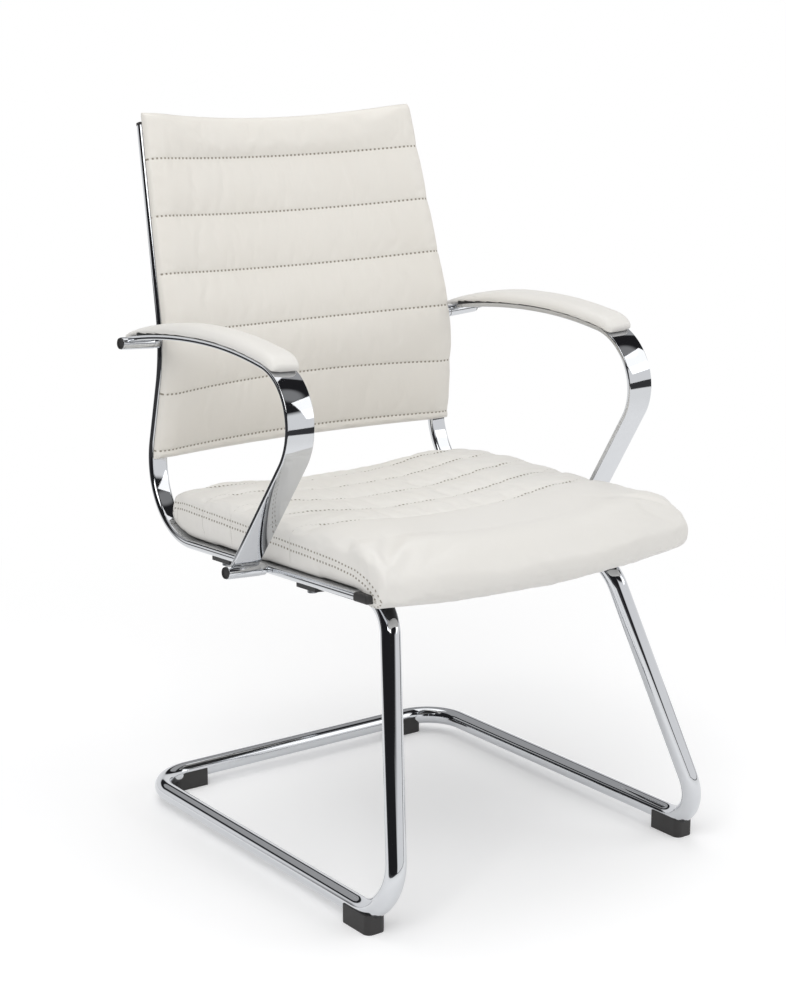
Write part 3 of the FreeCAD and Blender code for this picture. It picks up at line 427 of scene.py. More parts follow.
def close_ends(bm, *ends):
    """Close the ends of a carried outline and turn its faces outwards."""
    for edges in ends:
        bmesh.ops.contextual_create(bm, geom=edges)
    bmesh.ops.recalc_face_normals(bm, faces=bm.faces)


# Frame pieces

def sled_points():
    """Corners of the sled tube's line, from one upper end to the other."""
    right = [(171.43, 110, 359.85), (171.43, -196.82, 373.75), (248, -318, 22.5), (248, 263, 22.5)]
    both = right + [(-x, y, z) for x, y, z in reversed(right)]
    return [Vector((x, y + FRAME_Y, z)) * MM for x, y, z in both]


class CHAIR_OT_sled_base(bpy.types.Operator):
    """Bend the sled base from one round tube"""
    bl_idname = "chair.sled_base"
    bl_label = "Sled base"

    def execute(self, context):
        points = sled_points()
        bm = bmesh.new()
        bmesh.ops.create_circle(bm, segments=56, radius=sizes().tube / 2)
        bmesh.ops.rotate(bm, matrix=Matrix.Rotation(math.pi / 2, 3, "X"), verts=bm.verts)
        face_along(bm, (points[1] - points[0]).normalized(), points[0])
        first = bm.edges[:]
        radii = [r * MM for r in (55, 55, 60, 60, 55, 55)]
        last = carry(bm, first, points, radii, 22)
        close_ends(bm, first, last)
        shade_by_angle(bm, 35)
        finish_piece("sled_tube", bm, material(chrome_plate, "Chrome plate"), ["sled_base"])
        return {"FINISHED"}


class CHAIR_OT_side_rails(bpy.types.Operator):
    """Bend the two side rails from flat oval tube"""
    bl_idname = "chair.side_rails"
    bl_label = "Side rails"

    def execute(self, context):
        points = [p * MM for p in RAIL_LINE]
        for side in ("right", "left"):
            bm = bmesh.new()
            first = slab_outline(bm, sizes().rail_width, sizes().rail_thickness, RAIL_EDGE_R, 8)
            face_along(bm, (points[1] - points[0]).normalized(), points[0])
            last = carry(bm, first, points, [KNEE_R * MM, LUMBAR_R * MM], 40)
            close_ends(bm, first, last)
            stand(bm, side)
            shade_by_angle(bm, 35)
            chrome = material(chrome_plate, "Chrome plate")
            finish_piece("rail_" + side, bm, chrome, ["side_rail_" + side])
        return {"FINISHED"}


class CHAIR_OT_arm_bars(bpy.types.Operator):
    """Bend the two flat arm bars"""
    bl_idname = "chair.arm_bars"
    bl_label = "Arm bars"

    def execute(self, context):
        chrome = material(chrome_plate, "Chrome plate")
        width, thick = sizes().arm_width, sizes().arm_thickness
        x_mid = SOCKET_X + width / 2
        x_axis = Vector((1, 0, 0))
        apex = ARM_APEX + x_axis * x_mid
        rear_c = apex - Vector((0, 0, ARM_REAR_R))
        top_c = apex - Vector((0, 0, ARM_TOP_R))
        rear_turn = math.asin((SOCKETS[0].y * MM - ARM_APEX.y) / ARM_REAR_R)
        top_end = Vector((0, -math.sin(ARM_TOP_TURN), math.cos(ARM_TOP_TURN)))
        nose_c = top_c + top_end * (ARM_TOP_R - ARM_NOSE_R)
        nose_turn = math.pi / 2 + ARM_SLOPE - ARM_TOP_TURN
        foot = Vector((x_mid, *(SOCKETS[1].yz * MM)))
        down = Vector((0, math.sin(ARM_SLOPE), -math.cos(ARM_SLOPE)))
        for side in ("right", "left"):
            bm = bmesh.new()
            first = slab_outline(bm, width, thick, 0.0013, 4)
            bmesh.ops.translate(bm, verts=bm.verts, vec=apex - Vector((0, 0, thick / 2)))
            bmesh.ops.rotate(bm, cent=rear_c, matrix=Matrix.Rotation(-rear_turn, 3, "X"), verts=bm.verts)
            edges = bend(bm, first, rear_c, x_axis, rear_turn, 24)
            edges = bend(bm, edges, top_c, x_axis, ARM_TOP_TURN, 14)
            edges = bend(bm, edges, nose_c, x_axis, nose_turn, 56)
            middle = sum((v.co for e in edges for v in e.verts), Vector()) / (2 * len(edges))
            last = run(bm, edges, down * (foot - middle).dot(down))
            close_ends(bm, first, last)
            stand(bm, side)
            shade_by_angle(bm, 35)
            finish_piece("arm_" + side, bm, chrome, ["arm_bar_" + side])
        return {"FINISHED"}


def turned(bm, radius, length, start, rim):
    """A turned round piece that lies along X, with its end edges broken."""
    made = bmesh.ops.create_cone(bm, cap_ends=True, segments=48, radius1=radius, radius2=radius, depth=length)
    lie = Matrix.Translation(start + Vector((length / 2, 0, 0))) @ Matrix.Rotation(math.pi / 2, 4, "Y")
    bmesh.ops.transform(bm, matrix=lie, verts=made["verts"])
    ends = [e for v in made["verts"] for e in v.link_edges if abs(e.verts[0].co.x - e.verts[1].co.x) < 1e-7]
    bmesh.ops.bevel(bm, geom=list(set(ends)), offset=rim, offset_type="OFFSET", segments=3, profile=0.5,
                    affect="EDGES", material=-1)


class CHAIR_OT_arm_sockets(bpy.types.Operator):
    """Turn the arm sockets, their spacers and their ribbed plugs"""
    bl_idname = "chair.arm_sockets"
    bl_label = "Arm sockets"

    def execute(self, context):
        chrome = material(chrome_plate, "Chrome plate")
        plastic = material(black_polypropylene, "Black polypropylene")
        radius = sizes().socket / 2
        for side in ("right", "left"):
            bm = bmesh.new()
            for place in SOCKETS:
                turned(bm, radius, SOCKET_LEN, place * MM + Vector((SOCKET_X, 0, 0)), 0.0005)
            stand(bm, side)
            shade_by_angle(bm, 35)
            finish_piece("arm_sockets_turned_" + side, bm, chrome, ["arm_sockets_" + side])
        for name, finish, slot in (("arm_spacers", chrome, "chrome"),
                                   ("arm_plugs", plastic, "black_plastic")):
            both = bmesh.new()
            for side in ("right", "left"):
                bm = bmesh.new()
                for place in SOCKETS:
                    if name == "arm_spacers":
                        start = place * MM + Vector((SPACER_X, 0, 0))
                        turned(bm, radius - 0.0006, SPACER_LEN, start, 0.0004)
                    else:
                        self.ribbed_plug(bm, radius, place * MM + Vector((SOCKET_X + SOCKET_LEN, 0, 0)))
                stand(bm, side)
                part = bpy.data.meshes.new("part")
                bm.to_mesh(part)
                bm.free()
                both.from_mesh(part)
                bpy.data.meshes.remove(part)
            shade_by_angle(both, 35)
            finish_piece(name + "_turned", both, finish, [name])
        return {"FINISHED"}

    def ribbed_plug(self, bm, radius, start):
        """Plug with a ring of small ribs round a sunk middle."""
        made = bmesh.ops.create_cone(bm, cap_ends=True, segments=40, radius1=radius * 0.94,
                                     radius2=radius * 0.88, depth=0.002)
        lie = Matrix.Translation(start + Vector((0.00105, 0, 0))) @ Matrix.Rotation(math.pi / 2, 4, "Y")
        bmesh.ops.transform(bm, matrix=lie, verts=made["verts"])
        outer = max((f for v in made["verts"] for f in v.link_faces), key=lambda f: f.calc_center_median().x)
        bmesh.ops.inset_region(bm, faces=[outer], thickness=radius * 0.20, use_even_offset=True)
        bmesh.ops.translate(bm, verts=outer.verts[:], vec=(-0.0014, 0, 0))
        ring = [f for v in outer.verts for f in v.link_faces if f is not outer]
        ribs = sorted(set(ring), key=lambda f: math.atan2(f.calc_center_median().z - start.z,
                                                          f.calc_center_median().y - start.y))[::2]
        bmesh.ops.inset_individual(bm, faces=ribs, thickness=0.00012, depth=0.0004)


class CHAIR_OT_small_parts(bpy.types.Operator):
    """Finish the glides, plugs, plates, boards and fasteners"""
    bl_idname = "chair.small_parts"
    bl_label = "Small parts"

    def execute(self, context):
        plastic = material(black_polypropylene, "Black polypropylene")
        for name in ("glide_front_left", "glide_front_right", "glide_rear_left", "glide_rear_right"):
            bevelled(dressed_node(name, plastic), 0.0008)
        for name in ("base_end_plugs", "rail_top_caps", "rail_front_caps"):
            dressed_node(name, plastic)
        coat = material(black_powder_coat, "Black powder coat")
        for name in ("cross_plate_front", "cross_plate_rear"):
            bevelled(dressed_node(name, coat), 0.0006)
        zinc = material(zinc_plate, "Zinc plate")
        self.paint("seat_board", material(dust_cloth, "Black dust cloth"))
        self.paint("back_board", material(birch_plywood, "Birch plywood"))
        for name in ("glide_screws", "rail_bolts", "seat_bolts", "seat_tnuts", "back_screws", "arm_bolts",
                     "arm_pad_screws"):
            dressed_node(name, zinc)
        for name in ("arm_pad_core_left", "arm_pad_core_right"):
            self.paint(name, plastic)
        return {"FINISHED"}

    def paint(self, name, finish):
        """Give a CAD node its finish and leave its shape alone."""
        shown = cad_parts[name]
        shown.data.materials.clear()
        shown.data.materials.append(finish)


# Padded pieces

def point_values(mesh, name):
    """One vector for each point of a mesh: its place (co) or its normal."""
    flat = np.empty(len(mesh.vertices) * 3, np.float32)
    mesh.vertices.foreach_get(name, flat)
    return flat.reshape(-1, 3).astype(float)


def coords(mesh):
    return point_values(mesh, "co")


def normals(mesh):
    return point_values(mesh, "normal")


def place_points(mesh, points):
    mesh.vertices.foreach_set("co", points.astype(np.float32).ravel())
    mesh.update()


def settle(piece):
    """Apply the modifiers of a piece to its mesh."""
    graph = bpy.context.evaluated_depsgraph_get()
    mesh = bpy.data.meshes.new_from_object(piece.evaluated_get(graph))
    old = piece.data
    piece.modifiers.clear()
    piece.data = mesh
    bpy.data.meshes.remove(old)
    piece.data.shade_smooth()


def inflate(piece, sewn, pressure, cap, slack):
    """Swell a closed cover from inside; what is sewn down stays, and no point moves past the cap."""
    start = coords(piece.data)
    group = piece.vertex_groups.new(name="Sewn down")
    group.add([int(i) for i in np.flatnonzero(sewn)], 1.0, "REPLACE")
    cover = piece.modifiers.new("Cover", "CLOTH")
    cover.settings.vertex_group_mass = group.name
    cover.settings.use_pressure = True
    cover.settings.uniform_pressure_force = pressure
    cover.settings.effector_weights.gravity = 0.0
    cover.settings.shrink_min = -slack
    cover.settings.quality = 5
    cover.point_cache.frame_start = 1
    cover.point_cache.frame_end = 20
    scene = bpy.context.scene
    for number in range(1, 21):
        scene.frame_set(number)
    graph = bpy.context.evaluated_depsgraph_get()
    swollen = coords(piece.evaluated_get(graph).data)
    piece.modifiers.clear()
    piece.vertex_groups.clear()
    scene.frame_set(1)
    move = swollen - start
    far = np.maximum(np.linalg.norm(move, axis=1, keepdims=True), 1e-9)
    place_points(piece.data, start + move / far * cap * np.tanh(far / cap))


def refine(piece):
    """One level of subdivision, applied."""
    level = piece.modifiers.new("Finer", "SUBSURF")
    level.levels = 1
    level.render_levels = 1
    settle(piece)


def remesh(piece, voxel):
    made = piece.modifiers.new("Even mesh", "REMESH")
    made.mode = "VOXEL"
    made.voxel_size = voxel
    settle(piece)


def uv_from_points(piece, name, pairs):
    """A UV map that holds two numbers for each point of the mesh."""
    mesh = piece.data
    layer = mesh.uv_layers.new(name=name)
    loops = np.empty(len(mesh.loops), np.int32)
    mesh.loops.foreach_get("vertex_index", loops)
    layer.data.foreach_set("uv", pairs[loops].astype(np.float32).ravel())


def between_seams(value, seams, reach):
    """Distance to the nearest sewn line, changing sign at each line and nowhere else."""
    knots = [seams[0] - reach]
    heights = [-reach]
    sign = 1.0
    for i, seam in enumerate(seams):
        knots.append(seam)
        heights.append(0.0)
        gap = (seams[i + 1] - seam) / 2 if i + 1 < len(seams) else reach
        knots.append(seam + gap)
        heights.append(sign * gap)
        sign = -sign
    return np.interp(value, knots, heights)


def back_at(down, ahead):
    """Point of the side frame's plane, down from the pad's top and ahead of the rail, in millimetres."""
    up_seat = (RAIL_LINE[0] - RAIL_LINE[1]).normalized()
    up_lower = (RAIL_LINE[2] - RAIL_LINE[1]).normalized()
    up_upper = (RAIL_LINE[3] - RAIL_LINE[2]).normalized()
    lumbar_turn = up_lower.angle(up_upper)
    lumbar_reach = LUMBAR_R * math.tan(lumbar_turn / 2)
    upper = (RAIL_LINE[3] - RAIL_LINE[2]).length + BACK_ABOVE_RAIL - lumbar_reach
    lumbar = LUMBAR_R * lumbar_turn
    knee_reach = KNEE_R / math.tan(up_seat.angle(up_lower) / 2)
    knee = upper + lumbar + (RAIL_LINE[2] - RAIL_LINE[1]).length - lumbar_reach - knee_reach

    def front(direction):
        return Vector((0, -direction.z, direction.y))

    if down <= upper:
        return RAIL_LINE[3] + up_upper * (BACK_ABOVE_RAIL - down) + front(up_upper) * ahead
    if down <= upper + lumbar:
        centre = RAIL_LINE[2] + up_upper * lumbar_reach - front(up_upper) * LUMBAR_R
        turn = (down - upper) / LUMBAR_R
        return centre + (front(up_upper) * math.cos(turn) - up_upper * math.sin(turn)) * (LUMBAR_R + ahead)
    if down <= knee:
        return RAIL_LINE[2] - up_lower * (lumbar_reach + down - upper - lumbar) + front(up_lower) * ahead
    centre = RAIL_LINE[1] + up_lower * knee_reach + front(up_lower) * KNEE_R
    turn = (down - knee) / KNEE_R
    return centre - (front(up_lower) * math.cos(turn) + up_lower * math.sin(turn)) * (KNEE_R - ahead)


def back_point(side, down, ahead):
    """Point of the back at a share of its half width, in metres on the chair."""
    at = back_at(down, ahead)
    z = RAIL_Z + at.z * math.cos(LEAN)
    half = RAIL_X - math.tan(LEAN) * (z - RAIL_Z) + 12
    return Vector((side * half, at.y + FRAME_Y, z)) * MM


class CHAIR_OT_back_pad(bpy.types.Operator):
    """Sew and fill the channelled back pad, and cover its rear"""
    bl_idname = "chair.back_pad"
    bl_label = "Back pad"

    def execute(self, context):
        # Rows at even steps between the sewn lines, columns closer together at the rims
        stops = [0.0] + BACK_SEAMS + [BACK_LEN]
        rows = [stops[0]]
        for first, last, steps in zip(stops, stops[1:], [13, 17, 17, 17, 17, 18, 4]):
            rows += [first + (last - first) * (i + 1) / steps for i in range(steps)]
        rim = np.array([0.0, 2.3, 4.6, 7.4]) / BACK_HALF
        inner = np.linspace(-1 + 10.5 / BACK_HALF, 1 - 10.5 / BACK_HALF, 91)
        columns = np.concatenate([-1 + rim, inner, 1 - rim[::-1]])
        bm = bmesh.new()
        sheets = []
        for front in (True, False):
            made = bmesh.ops.create_grid(bm, x_segments=len(columns) - 1, y_segments=len(rows) - 1, size=0.5)
            verts = made["verts"]
            for v in verts:
                i = round((v.co.x + 0.5) * (len(columns) - 1))
                j = round((0.5 - v.co.y) * (len(rows) - 1))
                v.co = self.skin(columns[i], rows[j], front)
            sheets.append({f for v in verts for f in v.link_faces})
        bmesh.ops.reverse_faces(bm, faces=list(sheets[1]))
        bmesh.ops.bridge_loops(bm, edges=[e for e in bm.edges if e.is_boundary])
        bmesh.ops.recalc_face_normals(bm, faces=bm.faces)
        bm.verts.index_update()
        count = len(columns) * len(rows)
        finish = material(leatherette, "White leatherette, back", ("Seams",), (), (1.0, 0.985, 0.96))
        piece = finish_piece("back_pad", bm, finish, ["back_cushion"])
        sides, downs = self.sides_and_downs(piece, count, columns, rows)
        to_seam = np.abs(between_seams(downs, BACK_SEAMS, 40.0))
        sewn = (to_seam < 0.6) | (np.abs(sides) > 1 - 3 / BACK_HALF)
        sewn |= (downs < 1.5) | (downs > BACK_LEN - 1.5)
        sewn[count:] = True
        inflate(piece, sewn, 4.0, 0.0055, 0.006)
        refine(piece)
        self.creases(piece)
        self.rear_cover()
        return {"FINISHED"}

    def skin(self, side, down, front):
        """Front or rear face of the pad before it is filled."""
        share = abs(side)
        drop = BACK_DROP * (1 - side ** 2)
        if down < BACK_DROP_REACH:
            down = max(down, drop + down * (1 - drop / BACK_DROP_REACH))
        recess = BACK_RECESS * max(0.0, 1 - (share / BACK_FLAT_SHARE) ** 2)
        inward = (1 - share) * BACK_HALF
        edge = min(1.0, inward / 12)
        rim = max(0.0, min(1.0, (down - drop) / 8, (BACK_LEN - down) / 8))
        roll = math.sqrt(max(0.0, 1 - (1 - min(edge, rim)) ** 2))
        if front:
            ahead = BACK_EDGE_AHEAD + BACK_ROLL * roll - recess
            near = min(abs(down - s) for s in BACK_SEAMS)
            ahead += BACK_PUFF * min(1.0, near / BACK_PUFF_REACH) ** 0.7 * rim
            return back_point(side, down, ahead)
        rear_recess = BOARD_RECESS * max(0.0, 1 - (share / BOARD_SHARE) ** 2)
        inside = inward > 4 and 4 < down - drop and down < BACK_LEN - 4
        return back_point(side, down, (13.6 if inside else 8.5) - rear_recess)

    def sides_and_downs(self, piece, count, columns, rows):
        """Grid place of each point of both skins."""
        points = coords(piece.data)
        sides = np.zeros(len(points))
        downs = np.zeros(len(points))
        for k in range(len(points)):
            j, i = divmod(k % count, len(columns))
            sides[k] = columns[i]
            downs[k] = rows[len(rows) - 1 - j]
        return sides, downs

    def creases(self, piece):
        """Press the sewn lines in, pucker the cover beside them, and lay out the stitch map."""
        points = coords(piece.data)
        facing = normals(piece.data)
        samples = np.linspace(0, BACK_LEN, 230)
        line = np.array([tuple(back_point(0.0, float(d), 6.0)) for d in samples])
        gap = (points[:, None, 1] - line[None, :, 1]) ** 2 + (points[:, None, 2] - line[None, :, 2]) ** 2
        nearest = gap.argmin(axis=1)
        steps = np.diff(line[:, 1:], axis=0)
        steps = np.vstack([steps, steps[-1]])
        unit = steps / np.linalg.norm(steps, axis=1, keepdims=True)
        offset = points[:, 1:] - line[nearest, 1:]
        along = (offset * unit[nearest]).sum(axis=1)
        down = samples[nearest] * MM + along
        seams = [s * MM for s in BACK_SEAMS]
        signed = between_seams(down, seams, 0.04)
        near = np.abs(signed)
        pucker = 0.00035 * np.sin(points[:, 0] * 2 * math.pi / 0.019 + 2.0 * np.sin(points[:, 0] * 61))
        pucker *= np.exp(-((near - 0.007) / 0.006) ** 2)
        front = np.clip(-facing[:, 1] * 2 - 0.4, 0, 1)
        press = -0.0008 * np.exp(-(near / 0.0022) ** 2) + pucker
        place_points(piece.data, points + facing * (press * front)[:, None])
        uv_from_points(piece, "Seams", np.stack([points[:, 0], signed], axis=1))

    def rear_cover(self):
        finish = material(leatherette, "White leatherette")
        piece = dressed_node("back_cover", finish, 50)


class CHAIR_OT_seat_cushion(bpy.types.Operator):
    """Fill the seat cushion, press in its channels and sew its boxing"""
    bl_idname = "chair.seat_cushion"
    bl_label = "Seat cushion"

    def execute(self, context):
        finish = material(leatherette, "White leatherette, seat", ("Boxing", "Channels"), ("Boxing",))
        bm = joined_node("seat_cushion")
        bmesh.ops.recalc_face_normals(bm, faces=bm.faces)
        piece = finish_piece("seat_pad", bm, finish, ["seat_cushion"])
        remesh(piece, 0.0055)
        self.square_up(piece)
        points = coords(piece.data)
        facing = normals(piece.data)
        boxing = self.to_boxing(points)[1]
        lines = np.abs(between_seams(points[:, 1], SEAT_SEAMS, SEAM_REACH))
        top = facing[:, 2] > 0.5
        sewn = (facing[:, 2] < -0.25) & (points[:, 1] > -0.275)
        sewn |= top & (lines < 0.0029) & (np.abs(points[:, 0]) < 0.205)
        sewn |= np.abs(boxing) < 0.003
        sewn |= (points[:, 2] < 0.409) & (points[:, 1] > -0.24)
        inflate(piece, sewn, 4.0, 0.006, 0.012)
        refine(piece)
        self.creases(piece)
        return {"FINISHED"}

    def square_up(self, piece):
        """Fuller shoulders: the top stays high until close to the side panels, which stand out a little."""
        points = coords(piece.data)
        share = np.abs(points[:, 0]) / SEAT_HALF
        shoulder = np.clip((share - 0.72) / 0.28, 0, 1)
        fall = 0.024 * (1 - np.sqrt(np.maximum(0, 1 - shoulder ** 2)))
        top = np.clip((points[:, 2] - 0.405) / 0.02, 0, 1)
        rear = np.clip((0.21 - points[:, 1]) / 0.03, 0, 1)
        points[:, 2] += 0.75 * fall * top * rear
        out = np.clip((points[:, 2] - 0.384) / 0.012, 0, 1) * np.clip((share - 0.6) / 0.3, 0, 1)
        points[:, 0] += np.sign(points[:, 0]) * SEAT_STAND_OUT * out
        front = np.clip((-0.2 - points[:, 1]) / 0.08, 0, 1) * shoulder
        points[:, 1] -= 0.004 * front
        place_points(piece.data, points)

    def outline(self):
        """Seam round the side panel: rear, top and front, as points in the YZ plane."""
        return np.array([(0.189, 0.402), (0.1885, 0.415), (0.180, 0.4255), (0.160, 0.4275),
                         (-0.19, 0.4275), (-0.225, 0.4255), (-0.250, 0.4195), (-0.268, 0.4100),
                         (-0.277, 0.4000), (-0.272, 0.3935), (-0.247, 0.3885)])

    def to_boxing(self, points):
        """Place along the boxing seam and signed distance across it, for each point."""
        line = self.outline()
        lengths = np.concatenate([[0], np.cumsum(np.linalg.norm(np.diff(line, axis=0), axis=1))])
        best = np.full(len(points), 9.0)
        along = np.zeros(len(points))
        outside = np.zeros(len(points))
        for i in range(len(line) - 1):
            step = line[i + 1] - line[i]
            size = np.linalg.norm(step)
            step = step / size
            rel = points[:, 1:] - line[i]
            t = np.clip(rel @ step, 0, size)
            near = rel - t[:, None] * step
            dist = np.linalg.norm(near, axis=1)
            side = near @ np.array([-step[1], step[0]])
            hit = dist < best
            best[hit] = dist[hit]
            along[hit] = lengths[i] + t[hit]
            outside[hit] = np.where(side[hit] < 0, dist[hit], -dist[hit])
        inward = SEAT_HALF + SEAT_STAND_OUT - np.abs(points[:, 0])
        return along, outside + inward

    def creases(self, piece):
        """Press in the channels and the boxing seam, and pucker the ends of the channels."""
        points = coords(piece.data)
        facing = normals(piece.data)
        x = points[:, 0]
        y = points[:, 1] - 0.012 * (x / SEAT_HALF) ** 2
        channels = between_seams(y, SEAT_SEAMS, SEAM_REACH)
        near = np.abs(channels)
        along, boxing = self.to_boxing(points)
        top = np.clip(facing[:, 2] * 3 - 1.2, 0, 1)
        fade = np.clip((0.212 - np.abs(x)) / 0.03, 0, 1) * top
        press = -0.0016 * np.exp(-(near / 0.0032) ** 2) * fade
        ends = np.exp(-((np.abs(x) - 0.185) / 0.030) ** 2) * np.exp(-(near / 0.020) ** 2) * top
        folds = np.sin(points[:, 1] * 2 * math.pi / 0.016 + np.abs(x) * 90 + 1.7 * np.sin(points[:, 1] * 55))
        press += 0.0010 * folds * ends * (points[:, 1] < 0.19)
        press -= 0.0009 * np.exp(-(boxing / 0.0024) ** 2)
        place_points(piece.data, points + facing * press[:, None])
        uv_from_points(piece, "Boxing", np.stack([along, boxing], axis=1))
        hidden = np.where(fade > 0.35, channels, np.sign(channels + 1e-9) * np.maximum(near, 0.01))
        uv_from_points(piece, "Channels", np.stack([x, hidden], axis=1))


class CHAIR_OT_arm_pads(bpy.types.Operator):
    """Fill the padded tops of the arms"""
    bl_idname = "chair.arm_pads"
    bl_label = "Arm pads"

    def execute(self, context):
        finish = material(leatherette, "White leatherette")
        for side in ("right", "left"):
            bm = joined_node("arm_pad_" + side)
            piece = finish_piece("arm_cushion_" + side, bm, finish, ["arm_pad_" + side])
            remesh(piece, 0.0026)
            inflate(piece, normals(piece.data)[:, 2] < -0.45, 3.0, 0.0016, 0.0)
            smooth = bmesh.new()
            smooth.from_mesh(piece.data)
            for _ in range(3):
                bmesh.ops.smooth_vert(smooth, verts=smooth.verts, factor=0.5, use_axis_x=True,
                                      use_axis_y=True, use_axis_z=True)
            smooth.to_mesh(piece.data)
            smooth.free()
            refine(piece)
        return {"FINISHED"}


# Stage

class CHAIR_OT_stage(bpy.types.Operator):
    """Set out the floor, the studio light and the camera"""
    bl_idname = "chair.stage"
    bl_label = "Stage"

    def execute(self, context):
        self.floor()
        self.world(context.scene)
        self.lamp(context.scene, "Key", (-1.7, -1.5, 2.6), (0.0, 0.0, 0.45), 1.8, 30.0)
        self.lamp(context.scene, "Fill", (2.2, -1.9, 1.9), (0.0, 0.0, 0.5), 1.6, 12.0)
        self.lamp(context.scene, "Top", (0.2, 0.4, 3.0), (0.0, 0.0, 0.4), 2.0, 16.0)
        self.camera(context.scene)
        context.scene.view_settings.view_transform = "Standard"
        return {"FINISHED"}

    def floor(self):
        """White paper sweep: matt near the chair, running out into the background."""
        bm = bmesh.new()
        bmesh.ops.create_grid(bm, x_segments=1, y_segments=1, size=9.0)
        mesh = bpy.data.meshes.new("floor")
        bm.to_mesh(mesh)
        bm.free()
        floor = bpy.data.objects.new("floor", mesh)
        bpy.context.scene.collection.objects.link(floor)
        made = bpy.data.materials.new("White paper sweep")
        tree = empty_tree(made)
        place = node(tree, "TexCoord").outputs["Object"]
        length = node(tree, "VectorMath", {"operation": "LENGTH"}, {0: place}).outputs["Value"]
        out = node(tree, "MapRange", smooth(0.55, 1.5), {"Value": length})
        rays = node(tree, "LightPath").outputs
        seen = node(tree, "Math", PLUS, {0: rays["Is Camera Ray"], 1: rays["Is Glossy Ray"]})
        seen = node(tree, "Math", PLUS, {0: seen, 1: rays["Is Transmission Ray"]})
        out = node(tree, "Math", TIMES, {0: out, 1: seen})
        paper = node(tree, "BsdfDiffuse", {"Color": (0.93, 0.93, 0.935, 1)})
        bright = node(tree, "Emission", {"Color": (1, 1, 1, 1), "Strength": 1.0})
        # Painted light: the paper also glows a little for the camera and in reflections, so that it stays
        # white beside the chair and its shadow stays faint
        painted_glow = node(tree, "Math", TIMES, {0: seen, 1: 0.17})
        painted_lift = node(tree, "Emission", {"Color": (1, 1, 1, 1)}, {"Strength": painted_glow})
        lit = node(tree, "AddShader", None, {0: paper, 1: painted_lift})
        mix = node(tree, "MixShader", None, {0: out, 1: lit, 2: bright})
        # Where the paper ends, only the chrome sees the studio's dark floor
        spot = node(tree, "SeparateXYZ", None, {0: place})
        beside = node(tree, "MapRange", smooth(-1.25, -1.6), {"Value": spot.outputs[0]})
        away = node(tree, "MapRange", smooth(2.6, 2.9), {"Value": length})
        before = node(tree, "MapRange", smooth(0.3, 0.0), {"Value": spot.outputs[1]})
        before = node(tree, "Math", TIMES, {0: away, 1: before})
        bare = node(tree, "Math", LARGER, {0: beside, 1: before})
        bare = node(tree, "Math", TIMES, {0: bare, 1: rays["Is Glossy Ray"]})
        dark = node(tree, "Emission", {"Color": (0.05, 0.05, 0.053, 1), "Strength": 1.0})
        ends = node(tree, "MixShader", None, {0: bare, 1: mix, 2: dark})
        node(tree, "OutputMaterial", None, {0: ends})
        mesh.materials.append(made)

    def world(self, scene):
        """White studio to look at, plain soft light on the chair, a dark ceiling for the chrome to show."""
        world = bpy.data.worlds.new("White studio")
        scene.world = world
        tree = empty_tree(world)
        rays = node(tree, "LightPath").outputs
        way = node(tree, "TexCoord").outputs["Generated"]
        parts = node(tree, "SeparateXYZ", None, {0: way})
        front = node(tree, "MapRange", smooth(0.16, 0.08), {"Value": parts.outputs[1]})
        up = parts.outputs[2]
        # Dark ceiling in front of the chair, with one soft window in it
        toward = {"operation": "DOT_PRODUCT", 1: Vector((0.52, -0.45, 0.72)).normalized()}
        window = node(tree, "VectorMath", toward, {0: way}).outputs["Value"]
        window = node(tree, "MapRange", smooth(0.972, 0.995), {"Value": window})
        window = node(tree, "Math", TIMES, {0: window, 1: 0.28})
        ceiling = node(tree, "MapRange", smooth(0.30, 0.42), {"Value": up})
        ceiling = node(tree, "Math", TIMES, {0: ceiling, 1: front})
        ceiling = node(tree, "Math", LESS, {0: ceiling, 1: window})
        # Behind it a grey ceiling that starts with a dark beam
        grey = node(tree, "MapRange", smooth(0.30, 0.50), {"Value": up})
        grey = node(tree, "Math", TIMES, {0: grey, 1: 0.55})
        beam_start = node(tree, "MapRange", smooth(0.36, 0.40), {"Value": up})
        beam_end = node(tree, "MapRange", smooth(0.56, 0.50), {"Value": up})
        beam = node(tree, "Math", TIMES, {0: beam_start, 1: beam_end})
        # The dark of the room on the camera's side
        toward = {"operation": "DOT_PRODUCT", 1: Vector((-0.985, -0.17, 0.0)).normalized()}
        room = node(tree, "VectorMath", toward, {0: way}).outputs["Value"]
        dark = node(tree, "MapRange", smooth(0.42, 0.56), {"Value": room})
        for patch in (grey, beam, ceiling):
            dark = node(tree, "Math", LARGER, {0: dark, 1: patch})
        light, black = (0.92, 0.92, 0.93, 1), (0.018, 0.018, 0.020, 1)
        studio = node(tree, "Mix", {"data_type": "RGBA", 6: light, 7: black}, {"Factor": dark})
        plain = node(tree, "Background", {"Color": (1, 1, 1, 1), "Strength": 0.62})
        shown = node(tree, "Background", {"Strength": 1.0}, {"Color": studio.outputs[2]})
        white = node(tree, "Background", {"Color": (1, 1, 1, 1), "Strength": 1.0})
        gloss = node(tree, "Math", PLUS, {0: rays["Is Glossy Ray"], 1: rays["Is Transmission Ray"]})
        first = node(tree, "MixShader", None, {0: gloss, 1: plain, 2: shown})
        second = node(tree, "MixShader", None, {0: rays["Is Camera Ray"], 1: first, 2: white})
        node(tree, "OutputWorld", None, {0: second})

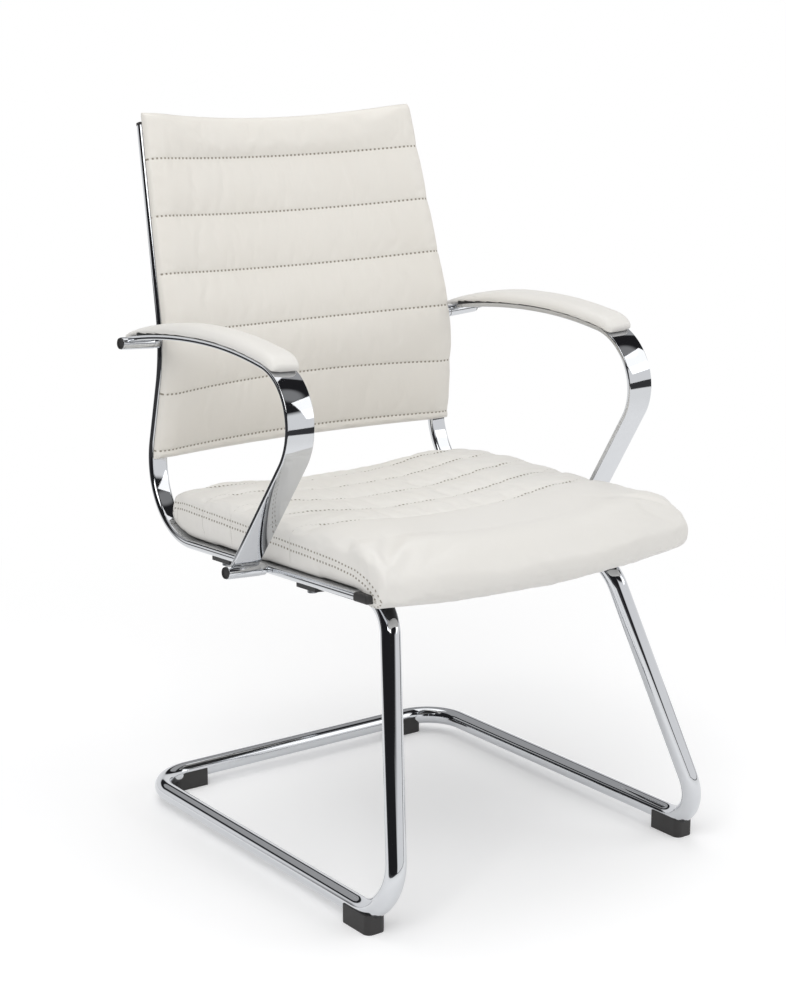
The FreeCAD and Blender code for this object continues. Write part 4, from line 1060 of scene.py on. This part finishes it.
    def lamp(self, scene, name, place, aim, size, power):
        data = bpy.data.lights.new(name, "AREA")
        data.size = size
        data.energy = power
        lamp = bpy.data.objects.new(name, data)
        lamp.location = place
        lamp.rotation_euler = (Vector(aim) - Vector(place)).to_track_quat("-Z", "Y").to_euler()
        scene.collection.objects.link(lamp)

    def camera(self, scene):
        data = bpy.data.cameras.new("Camera")
        data.lens = 74.03
        data.sensor_width = 36.0
        data.clip_end = 60
        camera = bpy.data.objects.new("Camera", data)
        camera.location = (-1.5447, -2.0935, 1.0563)
        camera.rotation_euler = (math.radians(76.493), 0, math.radians(-36.09))
        scene.collection.objects.link(camera)
        scene.camera = camera


OPERATORS = (
    CHAIR_OT_sled_base, CHAIR_OT_side_rails, CHAIR_OT_arm_bars, CHAIR_OT_arm_sockets, CHAIR_OT_small_parts,
    CHAIR_OT_back_pad, CHAIR_OT_seat_cushion, CHAIR_OT_arm_pads, CHAIR_OT_stage,
)


class CHAIR_PT_pieces(bpy.types.Panel):
    """Sizes, finishes and pieces of the visitor chair"""
    bl_idname = "CHAIR_PT_pieces"
    bl_label = "Visitor chair"
    bl_space_type = "VIEW_3D"
    bl_region_type = "UI"
    bl_category = "Chair"

    def draw(self, context):
        for group in (context.scene.chair_sizes, context.scene.chair_finishes):
            for name in group.__annotations__:
                self.layout.prop(group, name)
        for operator in OPERATORS:
            self.layout.operator(operator.bl_idname)


CLASSES = (ChairSizes, ChairFinishes) + OPERATORS + (CHAIR_PT_pieces,)


def register():
    for cls in CLASSES:
        bpy.utils.register_class(cls)
    bpy.types.Scene.chair_sizes = bpy.props.PointerProperty(type=ChairSizes)
    bpy.types.Scene.chair_finishes = bpy.props.PointerProperty(type=ChairFinishes)


def unregister():
    del bpy.types.Scene.chair_finishes
    del bpy.types.Scene.chair_sizes
    for cls in reversed(CLASSES):
        bpy.utils.unregister_class(cls)


def main():
    register()
    for operator in OPERATORS:
        group, name = operator.bl_idname.split(".")
        getattr(getattr(bpy.ops, group), name)()


if __name__ == "__main__":
    main()
